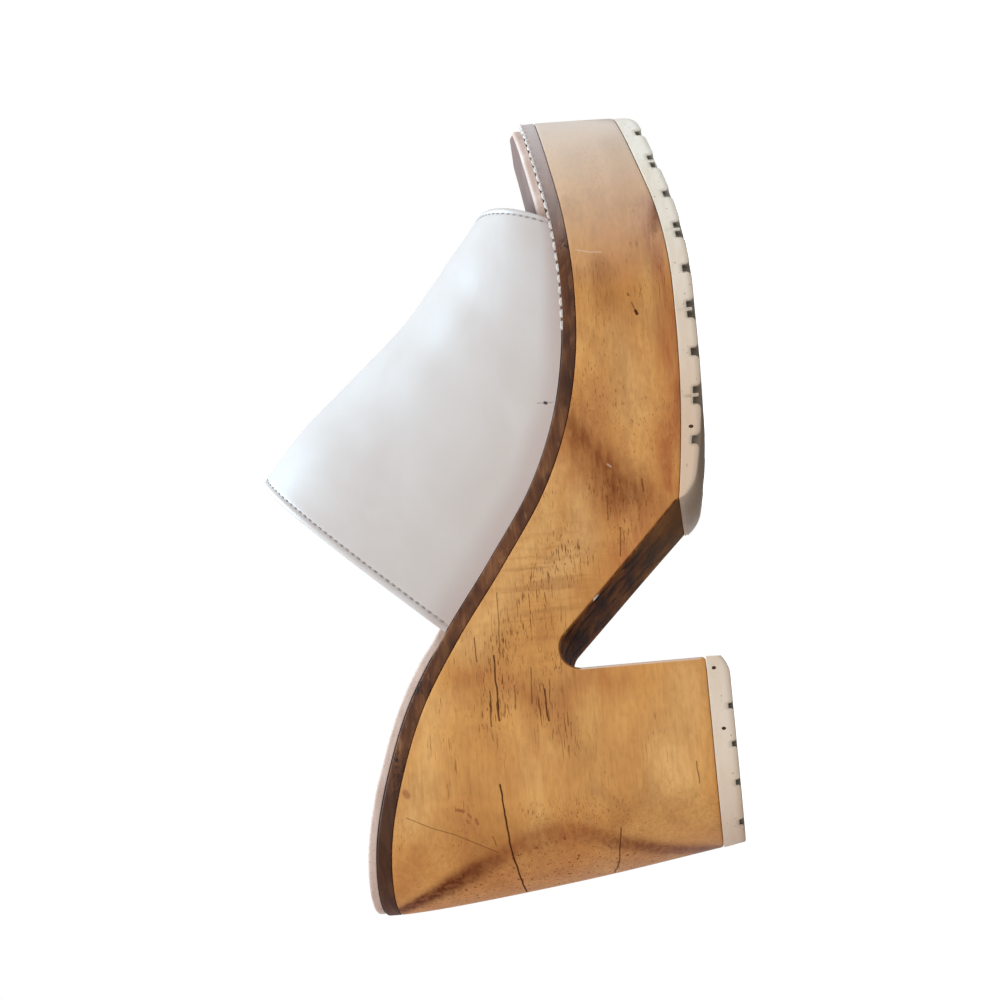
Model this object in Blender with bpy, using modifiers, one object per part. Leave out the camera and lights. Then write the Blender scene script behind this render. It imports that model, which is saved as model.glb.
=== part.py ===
"""Wooden platform sandal, left shoe, standing on its sole.

A carved wooden platform with a block heel stands on two rubber outsoles. A leather midsole and an
insole follow its footbed, and one wide leather band is the upper. X runs from the heel to the toe,
Y from the inner to the outer side of the foot, Z up. Sizes are in millimetres until a mesh is made.
"""

import math

import bmesh
import bpy
import numpy as np
from mathutils import Matrix

MM = 0.001
GAP = 0.3  # clearance between neighbouring pieces
WELD = 1e-6  # metres
SLOPE_STEP = 0.5  # half of the step over which a curve's slope is read
SHARP_ANGLE = 40.0  # degrees, the least angle of an edge that is shaded sharp

# Plan outline
LENGTH = 246.0
HEEL_ROUND = 30.0  # length of the elliptic heel end
TOE_ROUND = 70.0  # length of the elliptic toe end
HEEL_STEPS, TOE_STEPS, STATION_STEP, WORN_STEP = 9, 13, 8.2, 1.8
OUTLINE = np.array([
    # station, inner half width, outer half width
    (30.0, 30.5, 31.0),
    (60.0, 29.5, 31.5),
    (90.0, 28.0, 34.0),
    (120.0, 31.5, 39.0),
    (150.0, 38.5, 43.0),
    (176.0, 41.0, 44.5),
])

# Footbed, the top of the wood seen from the side
FOOTBED = np.array([
    # station, height
    (-8.0, 106.6),
    (5.0, 105.6),
    (20.0, 103.6),
    (40.0, 98.6),
    (60.0, 90.9),
    (80.0, 78.9),
    (100.0, 64.3),
    (120.0, 50.5),
    (140.0, 41.3),
    (160.0, 36.6),
    (180.0, 35.3),
    (200.0, 36.5),
    (225.0, 40.8),
    (252.0, 46.6),
])

# Wooden platform
HEEL_BREAST = 67.3  # station of the upright front face of the heel
ARCH_FRONT = 115.0  # station where the arch slope meets the forefoot
ARCH_FILLET = 6.0
HEEL_LEAN, HEEL_LEAN_POWER = 13.4, 1.3  # how far the heel's back moves forward on its way down
TOE_UNDERCUT = 2.5
SEAT_HEIGHT = 106.0
UNDERCUT_TOP = 1.0  # the toe's undercut starts this far below the footbed
WOOD_EDGE, WOOD_TOP_EDGE = 0.8, 0.3
WOOD_WALL_LEVELS = (0.8, 0.6, 0.4, 0.2)
ARCH_EDGE, ARCH_EDGE_LIMIT, ARCH_EDGE_SEGMENTS = 1.0, 60.0, 2  # bevel of the edges sharper than the limit
FILLET_POINTS = 10

# Forefoot outsole
OUTSOLE = 5.7
FLAT_REAR, FLAT_FRONT = 158.0, 176.0  # the flat spot of the forefoot
REAR_ROCKER, TOE_SPRING = 160.0, 140.0  # radii of the rise behind and ahead of it
SPRING_REACH = 36.0  # this far ahead of the flat spot the rise goes straight on to the toe
REAR_WEAR_START, REAR_WEAR = 122.0, 10.0  # the rubber is worn round at its rear end
TIP_WEAR_START, TIP_WEAR = 238.5, 8.2  # and at the tip of the toe
WOOD_FLAT_REAR, WOOD_REAR_ROCKER = 168.0, 342.0  # the outsole thins out where the wood rises less
OUTSOLE_EDGE, THIN_EDGE = 0.7, 0.2
NOTCH_FIRST, NOTCH_PITCH, NOTCH_COUNT = 131.5, 12.8, 9
NOTCH_WIDTH, NOTCH_DEPTH, NOTCH_PAIR = 2.2, 2.4, 3.0  # every second notch is a pair this far apart
PAIR_WIDTH = 2.0
NOTCH_REACH, NOTCH_MARGIN = 4.5, 20.0  # a notch's length in from the edge, and its cutter's beyond it

# Heel outsole
HEEL_OUTSOLE = 6.5
HEEL_CORNER_START, HEEL_CORNER = 60.0, 13.0  # the worn round at its front edge
HEEL_NOTCH_FIRST, HEEL_NOTCH_PITCH, HEEL_NOTCH_COUNT = 18.5, 11.2, 4
HEEL_NOTCH_WIDTH, HEEL_NOTCH_DEPTH = 1.5, 1.4

# Midsole and insole
MIDSOLE, MIDSOLE_EDGE = 4.1, 0.6
INSOLE, INSOLE_EDGE = 2.6, 0.9
INSOLE_SETBACK, INSOLE_SETBACK_IN_UPPER, SETBACK_RAMP = 0.7, 3.2, 5.0
SETBACK_LEAD = 1.5  # the step starts this many ramps ahead of the upper

# Upper
WALL = 2.0
UPPER_SETBACK = 0.4
SKIRT = 3.0  # the loft runs this far below the midsole's top before it is trimmed
ARCH_POWER = 2.25  # 2 is an ellipse, more is squarer at the shoulders
ACROSS_STEPS, ALONG_STEPS = 36, 22
UPPER = np.array([
    # part of the way, inner joint, outer joint, crown station, crown height
    (0.0, 81.5, 90.0, 138.0, 140.3),
    (0.2, 104.5, 112.0, 154.0, 126.5),
    (0.4, 128.5, 134.0, 169.5, 108.7),
    (0.6, 153.0, 156.0, 184.0, 92.0),
    (0.8, 178.5, 178.0, 199.5, 78.3),
    (1.0, 204.0, 200.0, 213.5, 65.8),
])
CROWN_OFFSET = 1.5  # the crown lies this far towards the outer side

# Rounded rims of the sole's layers
RIM_TURNS = (90.0, 45.0, 0.0)  # degrees, from the flat face to the wall
RIM_SHARE = 0.45  # a rim takes at most this share of its layer's thickness

# Side cuts reach this far beyond the shoe
CUT_HALF_WIDTH = 70.0
CUT_BELOW = -12.0

# Finish of each material: colour, roughness
RUBBER = (0.72, 0.66, 0.53), 0.6
WOOD = (0.50, 0.27, 0.09), 0.4
BROWN_LEATHER = (0.09, 0.045, 0.025), 0.6
PALE_LEATHER = (0.58, 0.46, 0.40), 0.55
WHITE_LEATHER = (0.74, 0.72, 0.72), 0.4


def smooth(table, column, x, end_slopes=None):
    """Smooth curve through one column of a table, over its first column."""
    xs, ys = table[:, 0], table[:, column]
    slopes = np.gradient(ys, xs)
    if end_slopes is not None:
        slopes[[0, -1]] = end_slopes
    x = np.asarray(x, float)
    i = np.clip(np.searchsorted(xs, x, side="right") - 1, 0, len(xs) - 2)
    span = xs[i + 1] - xs[i]
    t = (x - xs[i]) / span
    rise = ys[i + 1] - ys[i]
    bend_0 = slopes[i] * span - rise
    bend_1 = rise - slopes[i + 1] * span
    return ys[i] + rise * t + t * (1 - t) * (bend_0 * (1 - t) + bend_1 * t)


def half_width(x, column):
    """Half width of the sole at a station: 1 is the inner side, 2 the outer side."""
    toe_start = LENGTH - TOE_ROUND
    middle = smooth(OUTLINE, column, np.clip(x, HEEL_ROUND, toe_start), (0.0, 0.0))
    past_heel = np.clip((HEEL_ROUND - x) / HEEL_ROUND, 0, 1)
    past_toe = np.clip((x - toe_start) / TOE_ROUND, 0, 1)
    return middle * np.sqrt(1 - past_heel**2) * np.sqrt(1 - past_toe**2)


def stations(start=0.0, end=LENGTH):
    """Stations along the sole, closer together in its round ends, kept between start and end."""
    toe_start = LENGTH - TOE_ROUND
    turn_heel = np.linspace(0, math.pi / 2, HEEL_STEPS, endpoint=False)
    turn_toe = np.linspace(0, math.pi / 2, TOE_STEPS + 1)
    runs = [HEEL_ROUND * (1 - np.cos(turn_heel))]
    corners = (HEEL_ROUND, HEEL_BREAST, ARCH_FRONT, REAR_WEAR_START, FLAT_REAR, toe_start)
    for near, far in zip(corners, corners[1:]):
        step = WORN_STEP if near == ARCH_FRONT else STATION_STEP
        runs.append(np.linspace(near, far, math.ceil((far - near) / step), endpoint=False))
    x = np.concatenate(runs + [toe_start + TOE_ROUND * np.sin(turn_toe)])
    return x[(x >= start) & (x <= end)]


def footbed(x):
    return smooth(FOOTBED, 1, x)


def above_footbed(x, height):
    """Height of a layer's face that lies this far from the wood, square to the footbed."""
    slope = (footbed(x + SLOPE_STEP) - footbed(x - SLOPE_STEP)) / (2 * SLOPE_STEP)
    return footbed(x) + height * np.sqrt(1 + slope**2)


def rise(distance, radius, reach=math.inf):
    """Rise of an arc of this radius at a distance past its lowest point. Past its reach it runs straight."""
    distance = np.maximum(distance, 0)
    on_arc = np.minimum(distance, reach)
    below_centre = np.sqrt(radius**2 - on_arc**2)
    return radius - below_centre + (distance - on_arc) * on_arc / below_centre


def outsole_under(x):
    rear = rise(FLAT_REAR - x, REAR_ROCKER) + rise(REAR_WEAR_START - x, REAR_WEAR)
    return rear + rise(x - FLAT_FRONT, TOE_SPRING, SPRING_REACH) + rise(x - TIP_WEAR_START, TIP_WEAR)


def outsole_top(x):
    behind, ahead = WOOD_FLAT_REAR - x, x - FLAT_FRONT
    return OUTSOLE + rise(behind, WOOD_REAR_ROCKER) + rise(ahead, TOE_SPRING - OUTSOLE, SPRING_REACH)


def heel_under(x):
    return rise(x - HEEL_CORNER_START, HEEL_CORNER)


def wood_under(x):
    """Underside of the wood before the arch is cut: level at the heel, then the forefoot's curve."""
    heel, forefoot = HEEL_OUTSOLE, outsole_top(np.maximum(x, ARCH_FRONT))
    way = np.clip((x - HEEL_BREAST) / (ARCH_FRONT - HEEL_BREAST), 0, 1)
    return GAP + heel * (1 - way) + forefoot * way


def leaned(x, z):
    """Station after the heel's lean and the toe's undercut at this height."""
    drop = np.clip(1 - z / SEAT_HEIGHT, 0, 1)
    at_heel = np.clip(1 - x / HEEL_BREAST, 0, 1)
    at_toe = np.clip((x - LENGTH + TOE_ROUND) / TOE_ROUND, 0, 1)
    low = np.clip(1 - z / (footbed(x) - UNDERCUT_TOP), 0, 1)
    return x + HEEL_LEAN * drop**HEEL_LEAN_POWER * at_heel - TOE_UNDERCUT * low * at_toe**2


def plan_loop(x, inset):
    """Loop of plan points from the heel along the inner side to the toe and back along the outer
    side, moved inwards by inset. A pointed end is one point, a cut-off end is two."""
    inner = np.column_stack([x, -half_width(x, 1)])
    outer = np.column_stack([x, half_width(x, 2)])
    first = 1 if x[0] <= 0 else 0
    last = len(x) - 1 if x[-1] >= LENGTH else len(x)
    loop = np.concatenate([inner, outer[first:last][::-1]])
    along = np.roll(loop, -1, axis=0) - np.roll(loop, 1, axis=0)
    along /= np.linalg.norm(along, axis=1, keepdims=True)
    inward = np.column_stack([-along[:, 1], along[:, 0]])
    return loop + inward * np.broadcast_to(inset, len(loop))[:, None]


def add_object(name, mesh, collection, parent):
    obj = bpy.data.objects.new(name, mesh)
    obj.parent = parent
    collection.objects.link(obj)
    return obj


def mesh_of(name, points, faces):
    """Mesh from points in millimetres, with its faces turned outwards."""
    mesh = bpy.data.meshes.new(name)
    mesh.from_pydata((np.asarray(points) * MM).tolist(), [], faces)
    shape = bmesh.new()
    shape.from_mesh(mesh)
    bmesh.ops.recalc_face_normals(shape, faces=shape.faces)
    shape.to_mesh(mesh)
    shape.free()
    return mesh


def layer_mesh(name, x, top, under, edge_top, edge_under, setback=0.0, levels=()):
    """Closed layer of the sole between two side curves, with rounded rims, as rings of its outline."""
    turns = np.radians(RIM_TURNS)
    rims = [(edge_top, 1, turn) for turn in turns] + [(edge_under, -1, turn) for turn in turns[::-1]]
    rings = []
    for edge, side, turn in rims:
        loop = plan_loop(x, setback + edge * (1 - math.cos(turn)))
        low, high = under(loop[:, 0]), top(loop[:, 0])
        inset = np.minimum(edge, RIM_SHARE * (high - low)) * (1 - math.sin(turn))
        z = high - inset if side > 0 else low + inset
        rings.append(np.column_stack([leaned(loop[:, 0], z), loop[:, 1], z]))
    upper_rim, lower_rim = rings[2], rings[3]
    loop = plan_loop(x, setback)
    walls = []
    for level in levels:
        z = lower_rim[:, 2] + level * (upper_rim[:, 2] - lower_rim[:, 2])
        walls.append(np.column_stack([leaned(loop[:, 0], z), loop[:, 1], z]))
    rings = rings[:3] + walls + rings[3:]
    count = len(loop)
    points = np.concatenate(rings)
    faces = []
    for ring in range(len(rings) - 1):
        for i in range(count):
            j = (i + 1) % count
            here, below = ring * count, (ring + 1) * count
            faces.append([here + i, here + j, below + j, below + i])
    for start in (0, (len(rings) - 1) * count):
        faces += [[start + k for k in face] for face in strips(x, count)]
    return mesh_of(name, points, faces)


def strips(x, count):
    """Faces that fill a plan loop of count points with strips from its inner to its outer side."""
    last = count if x[0] <= 0 else count - 1
    faces = []
    for i in range(len(x) - 1):
        corners = (i, i + 1, (last - i - 1) % count, (last - i) % count)
        faces.append(list(dict.fromkeys(corners)))
    return faces


def prism(name, profile, cutters, parent):
    """Cutter with a closed side profile of (station, height) points, wider than the shoe."""
    curve = bpy.data.curves.new(name, "CURVE")
    curve.dimensions = "2D"
    curve.fill_mode = "BOTH"
    curve.extrude = CUT_HALF_WIDTH * MM
    spline = curve.splines.new("POLY")
    spline.points.add(len(profile) - 1)
    for point, (x, z) in zip(spline.points, profile):
        point.co = (x * MM, z * MM, 0, 1)
    spline.use_cyclic_u = True
    guide = bpy.data.objects.new(name, curve)
    cutters.objects.link(guide)
    graph = bpy.context.evaluated_depsgraph_get()
    mesh = bpy.data.meshes.new_from_object(guide.evaluated_get(graph))
    bpy.data.objects.remove(guide)
    shape = bmesh.new()
    shape.from_mesh(mesh)
    bmesh.ops.remove_doubles(shape, verts=shape.verts, dist=WELD)
    bmesh.ops.recalc_face_normals(shape, faces=shape.faces)
    shape.to_mesh(mesh)
    shape.free()
    cutter = add_object(name, mesh, cutters, parent)
    cutter.rotation_euler.x = math.pi / 2
    return as_cutter(cutter)


def as_cutter(obj):
    obj.hide_render = True
    obj.display_type = "WIRE"
    return obj


def cut(obj, cutter):
    modifier = obj.modifiers.new("cut_" + cutter.name, "BOOLEAN")
    modifier.operation = "DIFFERENCE"
    modifier.object = cutter


def notches(name, rows, cutters, parent):
    """Short bars at both edges of the sole. A row is a station, the outline's station there before the
    heel's lean, then height, slope, width and depth."""
    shape = bmesh.new()
    for x, outline_x, z, slope, width, depth in rows:
        for side, column in ((-1, 1), (1, 2)):
            y = side * (float(half_width(outline_x, column)) + (NOTCH_MARGIN - NOTCH_REACH) / 2)
            bar = bmesh.ops.create_cube(shape, size=1.0)["verts"]
            size = (width * MM, (NOTCH_REACH + NOTCH_MARGIN) * MM, 2 * depth * MM)
            bmesh.ops.scale(shape, verts=bar, vec=size)
            bmesh.ops.rotate(shape, verts=bar, cent=(0, 0, 0), matrix=Matrix.Rotation(-slope, 3, "Y"))
            bmesh.ops.translate(shape, verts=bar, vec=(x * MM, y * MM, z * MM))
    mesh = bpy.data.meshes.new(name)
    shape.to_mesh(mesh)
    shape.free()
    return as_cutter(add_object(name, mesh, cutters, parent))


def forefoot_notch_rows():
    rows = []
    for k in range(NOTCH_COUNT):
        middle = NOTCH_FIRST + k * NOTCH_PITCH
        places = [(middle, NOTCH_WIDTH)]
        if k % 2:
            places = [(middle + side * NOTCH_PAIR / 2, PAIR_WIDTH) for side in (-1, 1)]
        for x, width in places:
            climb = float(outsole_under(x + SLOPE_STEP) - outsole_under(x - SLOPE_STEP))
            slope = math.atan2(climb, 2 * SLOPE_STEP)
            rows.append((x, x, float(outsole_under(x)), slope, width, NOTCH_DEPTH))
    return rows


def heel_notch_rows():
    """The heel's lean brings the outline's stations forward to the notches' own."""
    rows = []
    for k in range(HEEL_NOTCH_COUNT):
        x = HEEL_NOTCH_FIRST + k * HEEL_NOTCH_PITCH
        outline_x = (x - HEEL_LEAN) / (1 - HEEL_LEAN / HEEL_BREAST)
        rows.append((x, outline_x, 0.0, 0.0, HEEL_NOTCH_WIDTH, HEEL_NOTCH_DEPTH))
    return rows


def arch_profile():
    """The notch between heel and forefoot: upright breast, round apex, straight slope of 45 degrees."""
    slope_sum = ARCH_FRONT + float(wood_under(ARCH_FRONT))
    centre_x = HEEL_BREAST + ARCH_FILLET
    centre_z = slope_sum - centre_x - ARCH_FILLET * math.sqrt(2)
    turns = np.radians(np.linspace(180, 45, FILLET_POINTS))
    fillet = [(centre_x + ARCH_FILLET * math.cos(t), centre_z + ARCH_FILLET * math.sin(t)) for t in turns]
    return [(HEEL_BREAST, CUT_BELOW)] + fillet + [(slope_sum - CUT_BELOW, CUT_BELOW)]


def below_upper_profile():
    """Everything under the upper's lower rim, which stays just clear of the midsole."""
    x = stations()
    z = above_footbed(x, 2 * GAP + MIDSOLE)
    return [(LENGTH, CUT_BELOW), (0.0, CUT_BELOW)] + list(zip(x.tolist(), z.tolist()))


def upper_section(way):
    """The three points that carry one section of the upper: inner joint, outer joint and crown."""
    inner_x, outer_x, crown_x, crown_z = (float(smooth(UPPER, column, way)) for column in (1, 2, 3, 4))
    inner_y = UPPER_SETBACK - float(half_width(inner_x, 1))
    outer_y = float(half_width(outer_x, 2)) - UPPER_SETBACK
    inner = np.array((inner_x, inner_y, float(above_footbed(inner_x, MIDSOLE))))
    outer = np.array((outer_x, outer_y, float(above_footbed(outer_x, MIDSOLE))))
    return inner, outer, np.array((crown_x, CROWN_OFFSET, crown_z))


def upper_line(way):
    """Points across the upper from the inner to the outer joint, as an arch over the foot."""
    inner, outer, crown = upper_section(way)
    up = crown - (inner + outer) / 2
    points = [inner - SKIRT * up / np.linalg.norm(up)]
    for turn in np.linspace(0, math.pi, ACROSS_STEPS + 1):
        power = 2 / ARCH_POWER
        side = math.copysign(abs(math.cos(turn)) ** power, math.cos(turn))
        points.append(inner + (outer - inner) * (1 - side) / 2 + up * math.sin(turn) ** power)
    points.append(outer - SKIRT * up / np.linalg.norm(up))
    return points


def upper_mesh(name):
    ways = np.linspace(0, 1, ALONG_STEPS + 1)
    lines = [upper_line(way) for way in ways]
    across = len(lines[0])
    faces = []
    for row in range(ALONG_STEPS):
        for i in range(across - 1):
            corner = row * across + i
            faces.append([corner, corner + across, corner + across + 1, corner + 1])
    mesh = bpy.data.meshes.new(name)
    mesh.from_pydata((np.concatenate(lines) * MM).tolist(), [], faces)
    return mesh


def insole_setback(x):
    """The insole steps in where the upper's wall stands beside it, on either side of the foot."""
    setbacks = []
    for column in (1, 2):
        start, end = UPPER[0, column], UPPER[-1, column]
        inside = np.clip(np.minimum(x - start, end - x) / SETBACK_RAMP + SETBACK_LEAD, 0, 1)
        setbacks.append(INSOLE_SETBACK + (INSOLE_SETBACK_IN_UPPER - INSOLE_SETBACK) * inside)
    return np.concatenate([setbacks[0], setbacks[1][1:-1][::-1]])


def material(name, colour, roughness):
    made = bpy.data.materials.new(name)
    made.use_nodes = True
    shader = made.node_tree.nodes["Principled BSDF"]
    shader.inputs["Base Color"].default_value = (*colour, 1)
    shader.inputs["Roughness"].default_value = roughness
    shader.inputs["Metallic"].default_value = 0.0
    return made


def finish(obj, finish_material):
    obj.data.materials.append(finish_material)
    obj.data.shade_smooth()
    obj.data.set_sharp_from_angle(angle=math.radians(SHARP_ANGLE))


def make_outsoles(parts, cutters, root, rubber):
    front = stations(ARCH_FRONT)
    mesh = layer_mesh("outsole_forefoot", front, outsole_top, outsole_under, THIN_EDGE, OUTSOLE_EDGE)
    forefoot = add_object("outsole_forefoot", mesh, parts, root)
    cut(forefoot, notches("forefoot_notches", forefoot_notch_rows(), cutters, root))
    finish(forefoot, rubber)

    def heel_top(x):
        return np.full(np.shape(x), HEEL_OUTSOLE)

    back = stations(0.0, HEEL_BREAST)
    mesh = layer_mesh("outsole_heel", back, heel_top, heel_under, THIN_EDGE, OUTSOLE_EDGE)
    heel = add_object("outsole_heel", mesh, parts, root)
    cut(heel, notches("heel_notches", heel_notch_rows(), cutters, root))
    finish(heel, rubber)


def make_platform(parts, cutters, root, wood):
    mesh = layer_mesh(
        "wooden_platform",
        stations(),
        footbed,
        wood_under,
        WOOD_TOP_EDGE,
        WOOD_EDGE,
        levels=WOOD_WALL_LEVELS,
    )
    platform = add_object("wooden_platform", mesh, parts, root)
    cut(platform, prism("arch_notch", arch_profile(), cutters, root))
    edges = platform.modifiers.new("arch_edges", "BEVEL")
    edges.limit_method = "ANGLE"
    edges.angle_limit = math.radians(ARCH_EDGE_LIMIT)
    edges.width = ARCH_EDGE * MM
    edges.segments = ARCH_EDGE_SEGMENTS
    finish(platform, wood)


def make_footbed_layers(parts, root, brown, pale):
    x = stations()
    mesh = layer_mesh(
        "midsole",
        x,
        lambda s: above_footbed(s, GAP + MIDSOLE),
        lambda s: above_footbed(s, GAP),
        MIDSOLE_EDGE,
        MIDSOLE_EDGE,
    )
    finish(add_object("midsole", mesh, parts, root), brown)
    base = 2 * GAP + MIDSOLE
    mesh = layer_mesh(
        "insole",
        x,
        lambda s: above_footbed(s, base + INSOLE),
        lambda s: above_footbed(s, base),
        INSOLE_EDGE,
        THIN_EDGE,
        insole_setback(x),
    )
    finish(add_object("insole", mesh, parts, root), pale)


def make_upper(parts, cutters, root, leather):
    upper = add_object("upper", upper_mesh("upper"), parts, root)
    wall = upper.modifiers.new("wall", "SOLIDIFY")
    wall.thickness = WALL * MM
    wall.offset = -1.0
    wall.use_even_offset = True
    cut(upper, prism("below_upper", below_upper_profile(), cutters, root))
    finish(upper, leather)


def main():
    for obj in list(bpy.data.objects):
        bpy.data.objects.remove(obj)
    parts = bpy.data.collections.new("platform_sandal")
    cutters = bpy.data.collections.new("platform_sandal_cutters")
    for collection in (parts, cutters):
        bpy.context.scene.collection.children.link(collection)
    root = bpy.data.objects.new("platform_sandal_origin", None)
    outer_reach, inner_reach = OUTLINE[:, 2].max(), OUTLINE[:, 1].max()
    root.location = (-LENGTH / 2 * MM, -(outer_reach - inner_reach) / 2 * MM, 0)
    parts.objects.link(root)

    make_outsoles(parts, cutters, root, material("cream_rubber", *RUBBER))
    make_platform(parts, cutters, root, material("honey_wood", *WOOD))
    brown, pale = material("brown_leather", *BROWN_LEATHER), material("pale_leather", *PALE_LEATHER)
    make_footbed_layers(parts, root, brown, pale)
    make_upper(parts, cutters, root, material("white_leather", *WHITE_LEATHER))


main()
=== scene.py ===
"""Looks of the wooden platform sandal: worn honey-tan wood, cream rubber, brown and white leather.

Sizes are millimetres in the shoe's own frame until a mesh is made: stations run from the heel's back to
the toe, the inner side of the foot is at negative y, heights start at the floor. Each piece keeps the form
of the solid that it stands for and adds its finer surface: rounded lugs, folded edges, creases, stitches.
"""

import math

import bmesh
import bpy
import numpy as np
from mathutils import Matrix, Vector


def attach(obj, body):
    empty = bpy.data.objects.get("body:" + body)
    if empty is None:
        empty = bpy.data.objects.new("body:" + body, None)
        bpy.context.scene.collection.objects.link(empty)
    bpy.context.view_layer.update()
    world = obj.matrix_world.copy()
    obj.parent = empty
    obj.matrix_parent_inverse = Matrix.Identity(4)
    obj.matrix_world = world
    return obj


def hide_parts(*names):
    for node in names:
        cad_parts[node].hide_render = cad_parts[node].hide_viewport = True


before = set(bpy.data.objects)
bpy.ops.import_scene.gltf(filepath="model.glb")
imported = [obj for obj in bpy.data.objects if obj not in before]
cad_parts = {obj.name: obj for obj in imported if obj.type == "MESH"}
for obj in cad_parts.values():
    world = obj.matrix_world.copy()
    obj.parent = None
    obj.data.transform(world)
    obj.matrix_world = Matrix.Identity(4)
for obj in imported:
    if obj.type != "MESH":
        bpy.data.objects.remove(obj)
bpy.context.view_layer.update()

MM = 0.001
GAP = 0.3  # between the pieces of the sole
SEAM_FILL = 0.2  # the glue line fills this much of a gap
RIM_LEVEL = 0.01  # levels up to this are the rounded lower edge of a sole piece
RIM_SHARE, RIM_TURNS = 0.45, (90, 60, 30, 0)  # most of a thin piece that an edge takes, its rows in degrees
TIP_REACH = 1.0  # this near the heel's and toe's tips, the rows of a sole piece stand above each other
SLOPE_STEP, EDGE_STEP, OUTLINE_SAMPLES = 0.5, 0.02, 4001  # how finely slopes and the outline are measured
POINT_WIDTH = 1e-6  # what is narrower is a point
WELD_M, SHARP_ANGLE = 1e-6, 60.0  # metres between points that merge, degrees of a sharp edge
COLUMN = {-1: 1, 1: 2}  # column of the inner and of the outer side in a table
RANDOM = np.random.default_rng(7)

# Plan outline
LENGTH, HEEL_ROUND, TOE_ROUND = 246.0, 30.0, 70.0
OUTLINE = np.array([
    # station, inner half width, outer half width
    (30.0, 30.5, 31.0),
    (60.0, 29.5, 31.5),
    (90.0, 28.0, 34.0),
    (120.0, 31.5, 39.0),
    (150.0, 38.5, 43.0),
    (176.0, 41.0, 44.5),
])
CENTRE = np.array((LENGTH / 2, (OUTLINE[:, 2].max() - OUTLINE[:, 1].max()) / 2, 0.0))

# Footbed, the top of the wood seen from the side
FOOTBED = np.array([
    # station, height
    (-8.0, 106.6),
    (5.0, 105.6),
    (20.0, 103.6),
    (40.0, 98.6),
    (60.0, 90.9),
    (80.0, 78.9),
    (100.0, 64.3),
    (120.0, 50.5),
    (140.0, 41.3),
    (160.0, 36.6),
    (180.0, 35.3),
    (200.0, 36.5),
    (225.0, 40.8),
    (252.0, 46.6),
])

# Wooden platform
HEEL_BREAST, ARCH_FRONT, ARCH_FILLET = 67.3, 115.0, 6.0
HEEL_LEAN, HEEL_LEAN_POWER, TOE_UNDERCUT, SEAT_HEIGHT = 13.4, 1.3, 2.5, 106.0
WOOD_EDGE, WOOD_TOP_EDGE, BREAST_CORNER = 0.8, 0.3, 1.3
WOOD_STEP, WOOD_ROWS, WOOD_ACROSS = 1.3, 56, 14
UNDERCUT_TOP = 1.0  # the toe's undercut ends this far below the footbed
# the first number is painted shade along the lower edge of the arch slope
ARCH_EDGE_SHADE, BREAST_NEAR = 0.85, 0.01
WOOD_UNEVEN, BAND_UNEVEN = 0.09, 0.054
UNEVEN_WAVES = [
    # share, length along, length up, shift
    (1.0, 8.7, 15.0, 0.0),
    (1.0, 13.9, -10.4, 2.0),
    (0.5, 4.9, math.inf, 1.0),
]
CORNER_POINTS, FILLET_POINTS, SLOPE_SHARE = 6, 16, 0.8
ARCH_PALE_START = 92.0  # from this station to the forefoot the arch slope gets paler
TOP_OF_COLUMN = {"breast foot": 45.0, "breast head": 62.0, "fillet end": 84.0, "arch front": 121.0}
COLUMNS_UPRIGHT = (30.0, 132.0)  # outside these stations the wall's columns stand upright

# Outsoles
OUTSOLE, FLAT_REAR, FLAT_FRONT = 5.7, 158.0, 176.0
REAR_ROCKER, TOE_SPRING, SPRING_REACH = 160.0, 140.0, 36.0
REAR_WEAR_START, REAR_WEAR = 122.0, 10.0  # the rubber is worn round at its rear end
TIP_WEAR_START, TIP_WEAR = 238.5, 8.2  # and at the tip of the toe
WOOD_FLAT_REAR, WOOD_REAR_ROCKER = 168.0, 342.0
GROOVE_FIRST, GROOVE_PITCH, GROOVE_COUNT = 131.5, 12.8, 9
GROOVE_WIDTH, GROOVE_DEPTH, GROOVE_PAIR, PAIR_WIDTH = 2.2, 2.4, 3.0, 2.0
HEEL_OUTSOLE, HEEL_CORNER_START, HEEL_CORNER = 6.5, 60.0, 13.0
HEEL_GROOVE_FIRST, HEEL_GROOVE_PITCH, HEEL_GROOVE_COUNT = 18.5, 11.2, 4
HEEL_GROOVE_WIDTH, HEEL_GROOVE_DEPTH = 1.5, 1.4
OUTSOLE_EDGE, OUTSOLE_TOP_EDGE = 0.6, 0.2
LUG_ROUND, HEEL_LUG_ROUND, RIB_ROUND, GROOVE_ROUND = 1.6, 1.0, 0.45, 0.3
PINK_START, PINK_REACH, PINK_HEEL = 205.0, 75.0, 0.50  # the rubber has yellowed most at the waist
OUTSOLE_STEP, OUTSOLE_ROWS, OUTSOLE_ACROSS, GROOVE_REACH = 1.2, 8, 30, 2.0
NOTCH_REACH, RIB_SINK = 4.5, 0.8  # length of a notch from the edge, height of the low rib in a double one
LUG_POINTS, GROOVE_POINTS, GROOVE_CLEAR = 6, 4, 0.25

# Midsole and insole
MIDSOLE, MIDSOLE_EDGE, MIDSOLE_ACROSS = 4.1, 0.6, 3
INSOLE, INSOLE_EDGE, INSOLE_UNDER_EDGE = 2.6, 0.9, 0.2
CROWN = np.array([
    # station, height of the insole's middle above its edges
    (186.0, -0.7),
    (206.0, 4.0),
    (234.0, 3.0),
    (246.0, 1.0),
])
INSOLE_SETBACK, INSOLE_SETBACK_IN_UPPER, SETBACK_RAMP, SETBACK_LEAD = 0.7, 3.2, 5.0, 1.5
TOE_SETBACK, TOE_SETBACK_START = 1.6, 228.0  # the insole ends a little short of the toe
LAYER_STEP, LAYER_ROWS, INSOLE_ACROSS = 1.2, 5, 40
FOOTPRINT = [
    # station, side, half length, half width
    (32.0, 0.0, 24.0, 19.0),
    (172.0, -16.0, 22.0, 17.0),
    (164.0, 18.0, 24.0, 15.0),
    (218.0, -14.0, 13.0, 10.0),
    (212.0, 10.0, 9.0, 16.0),
]

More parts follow.
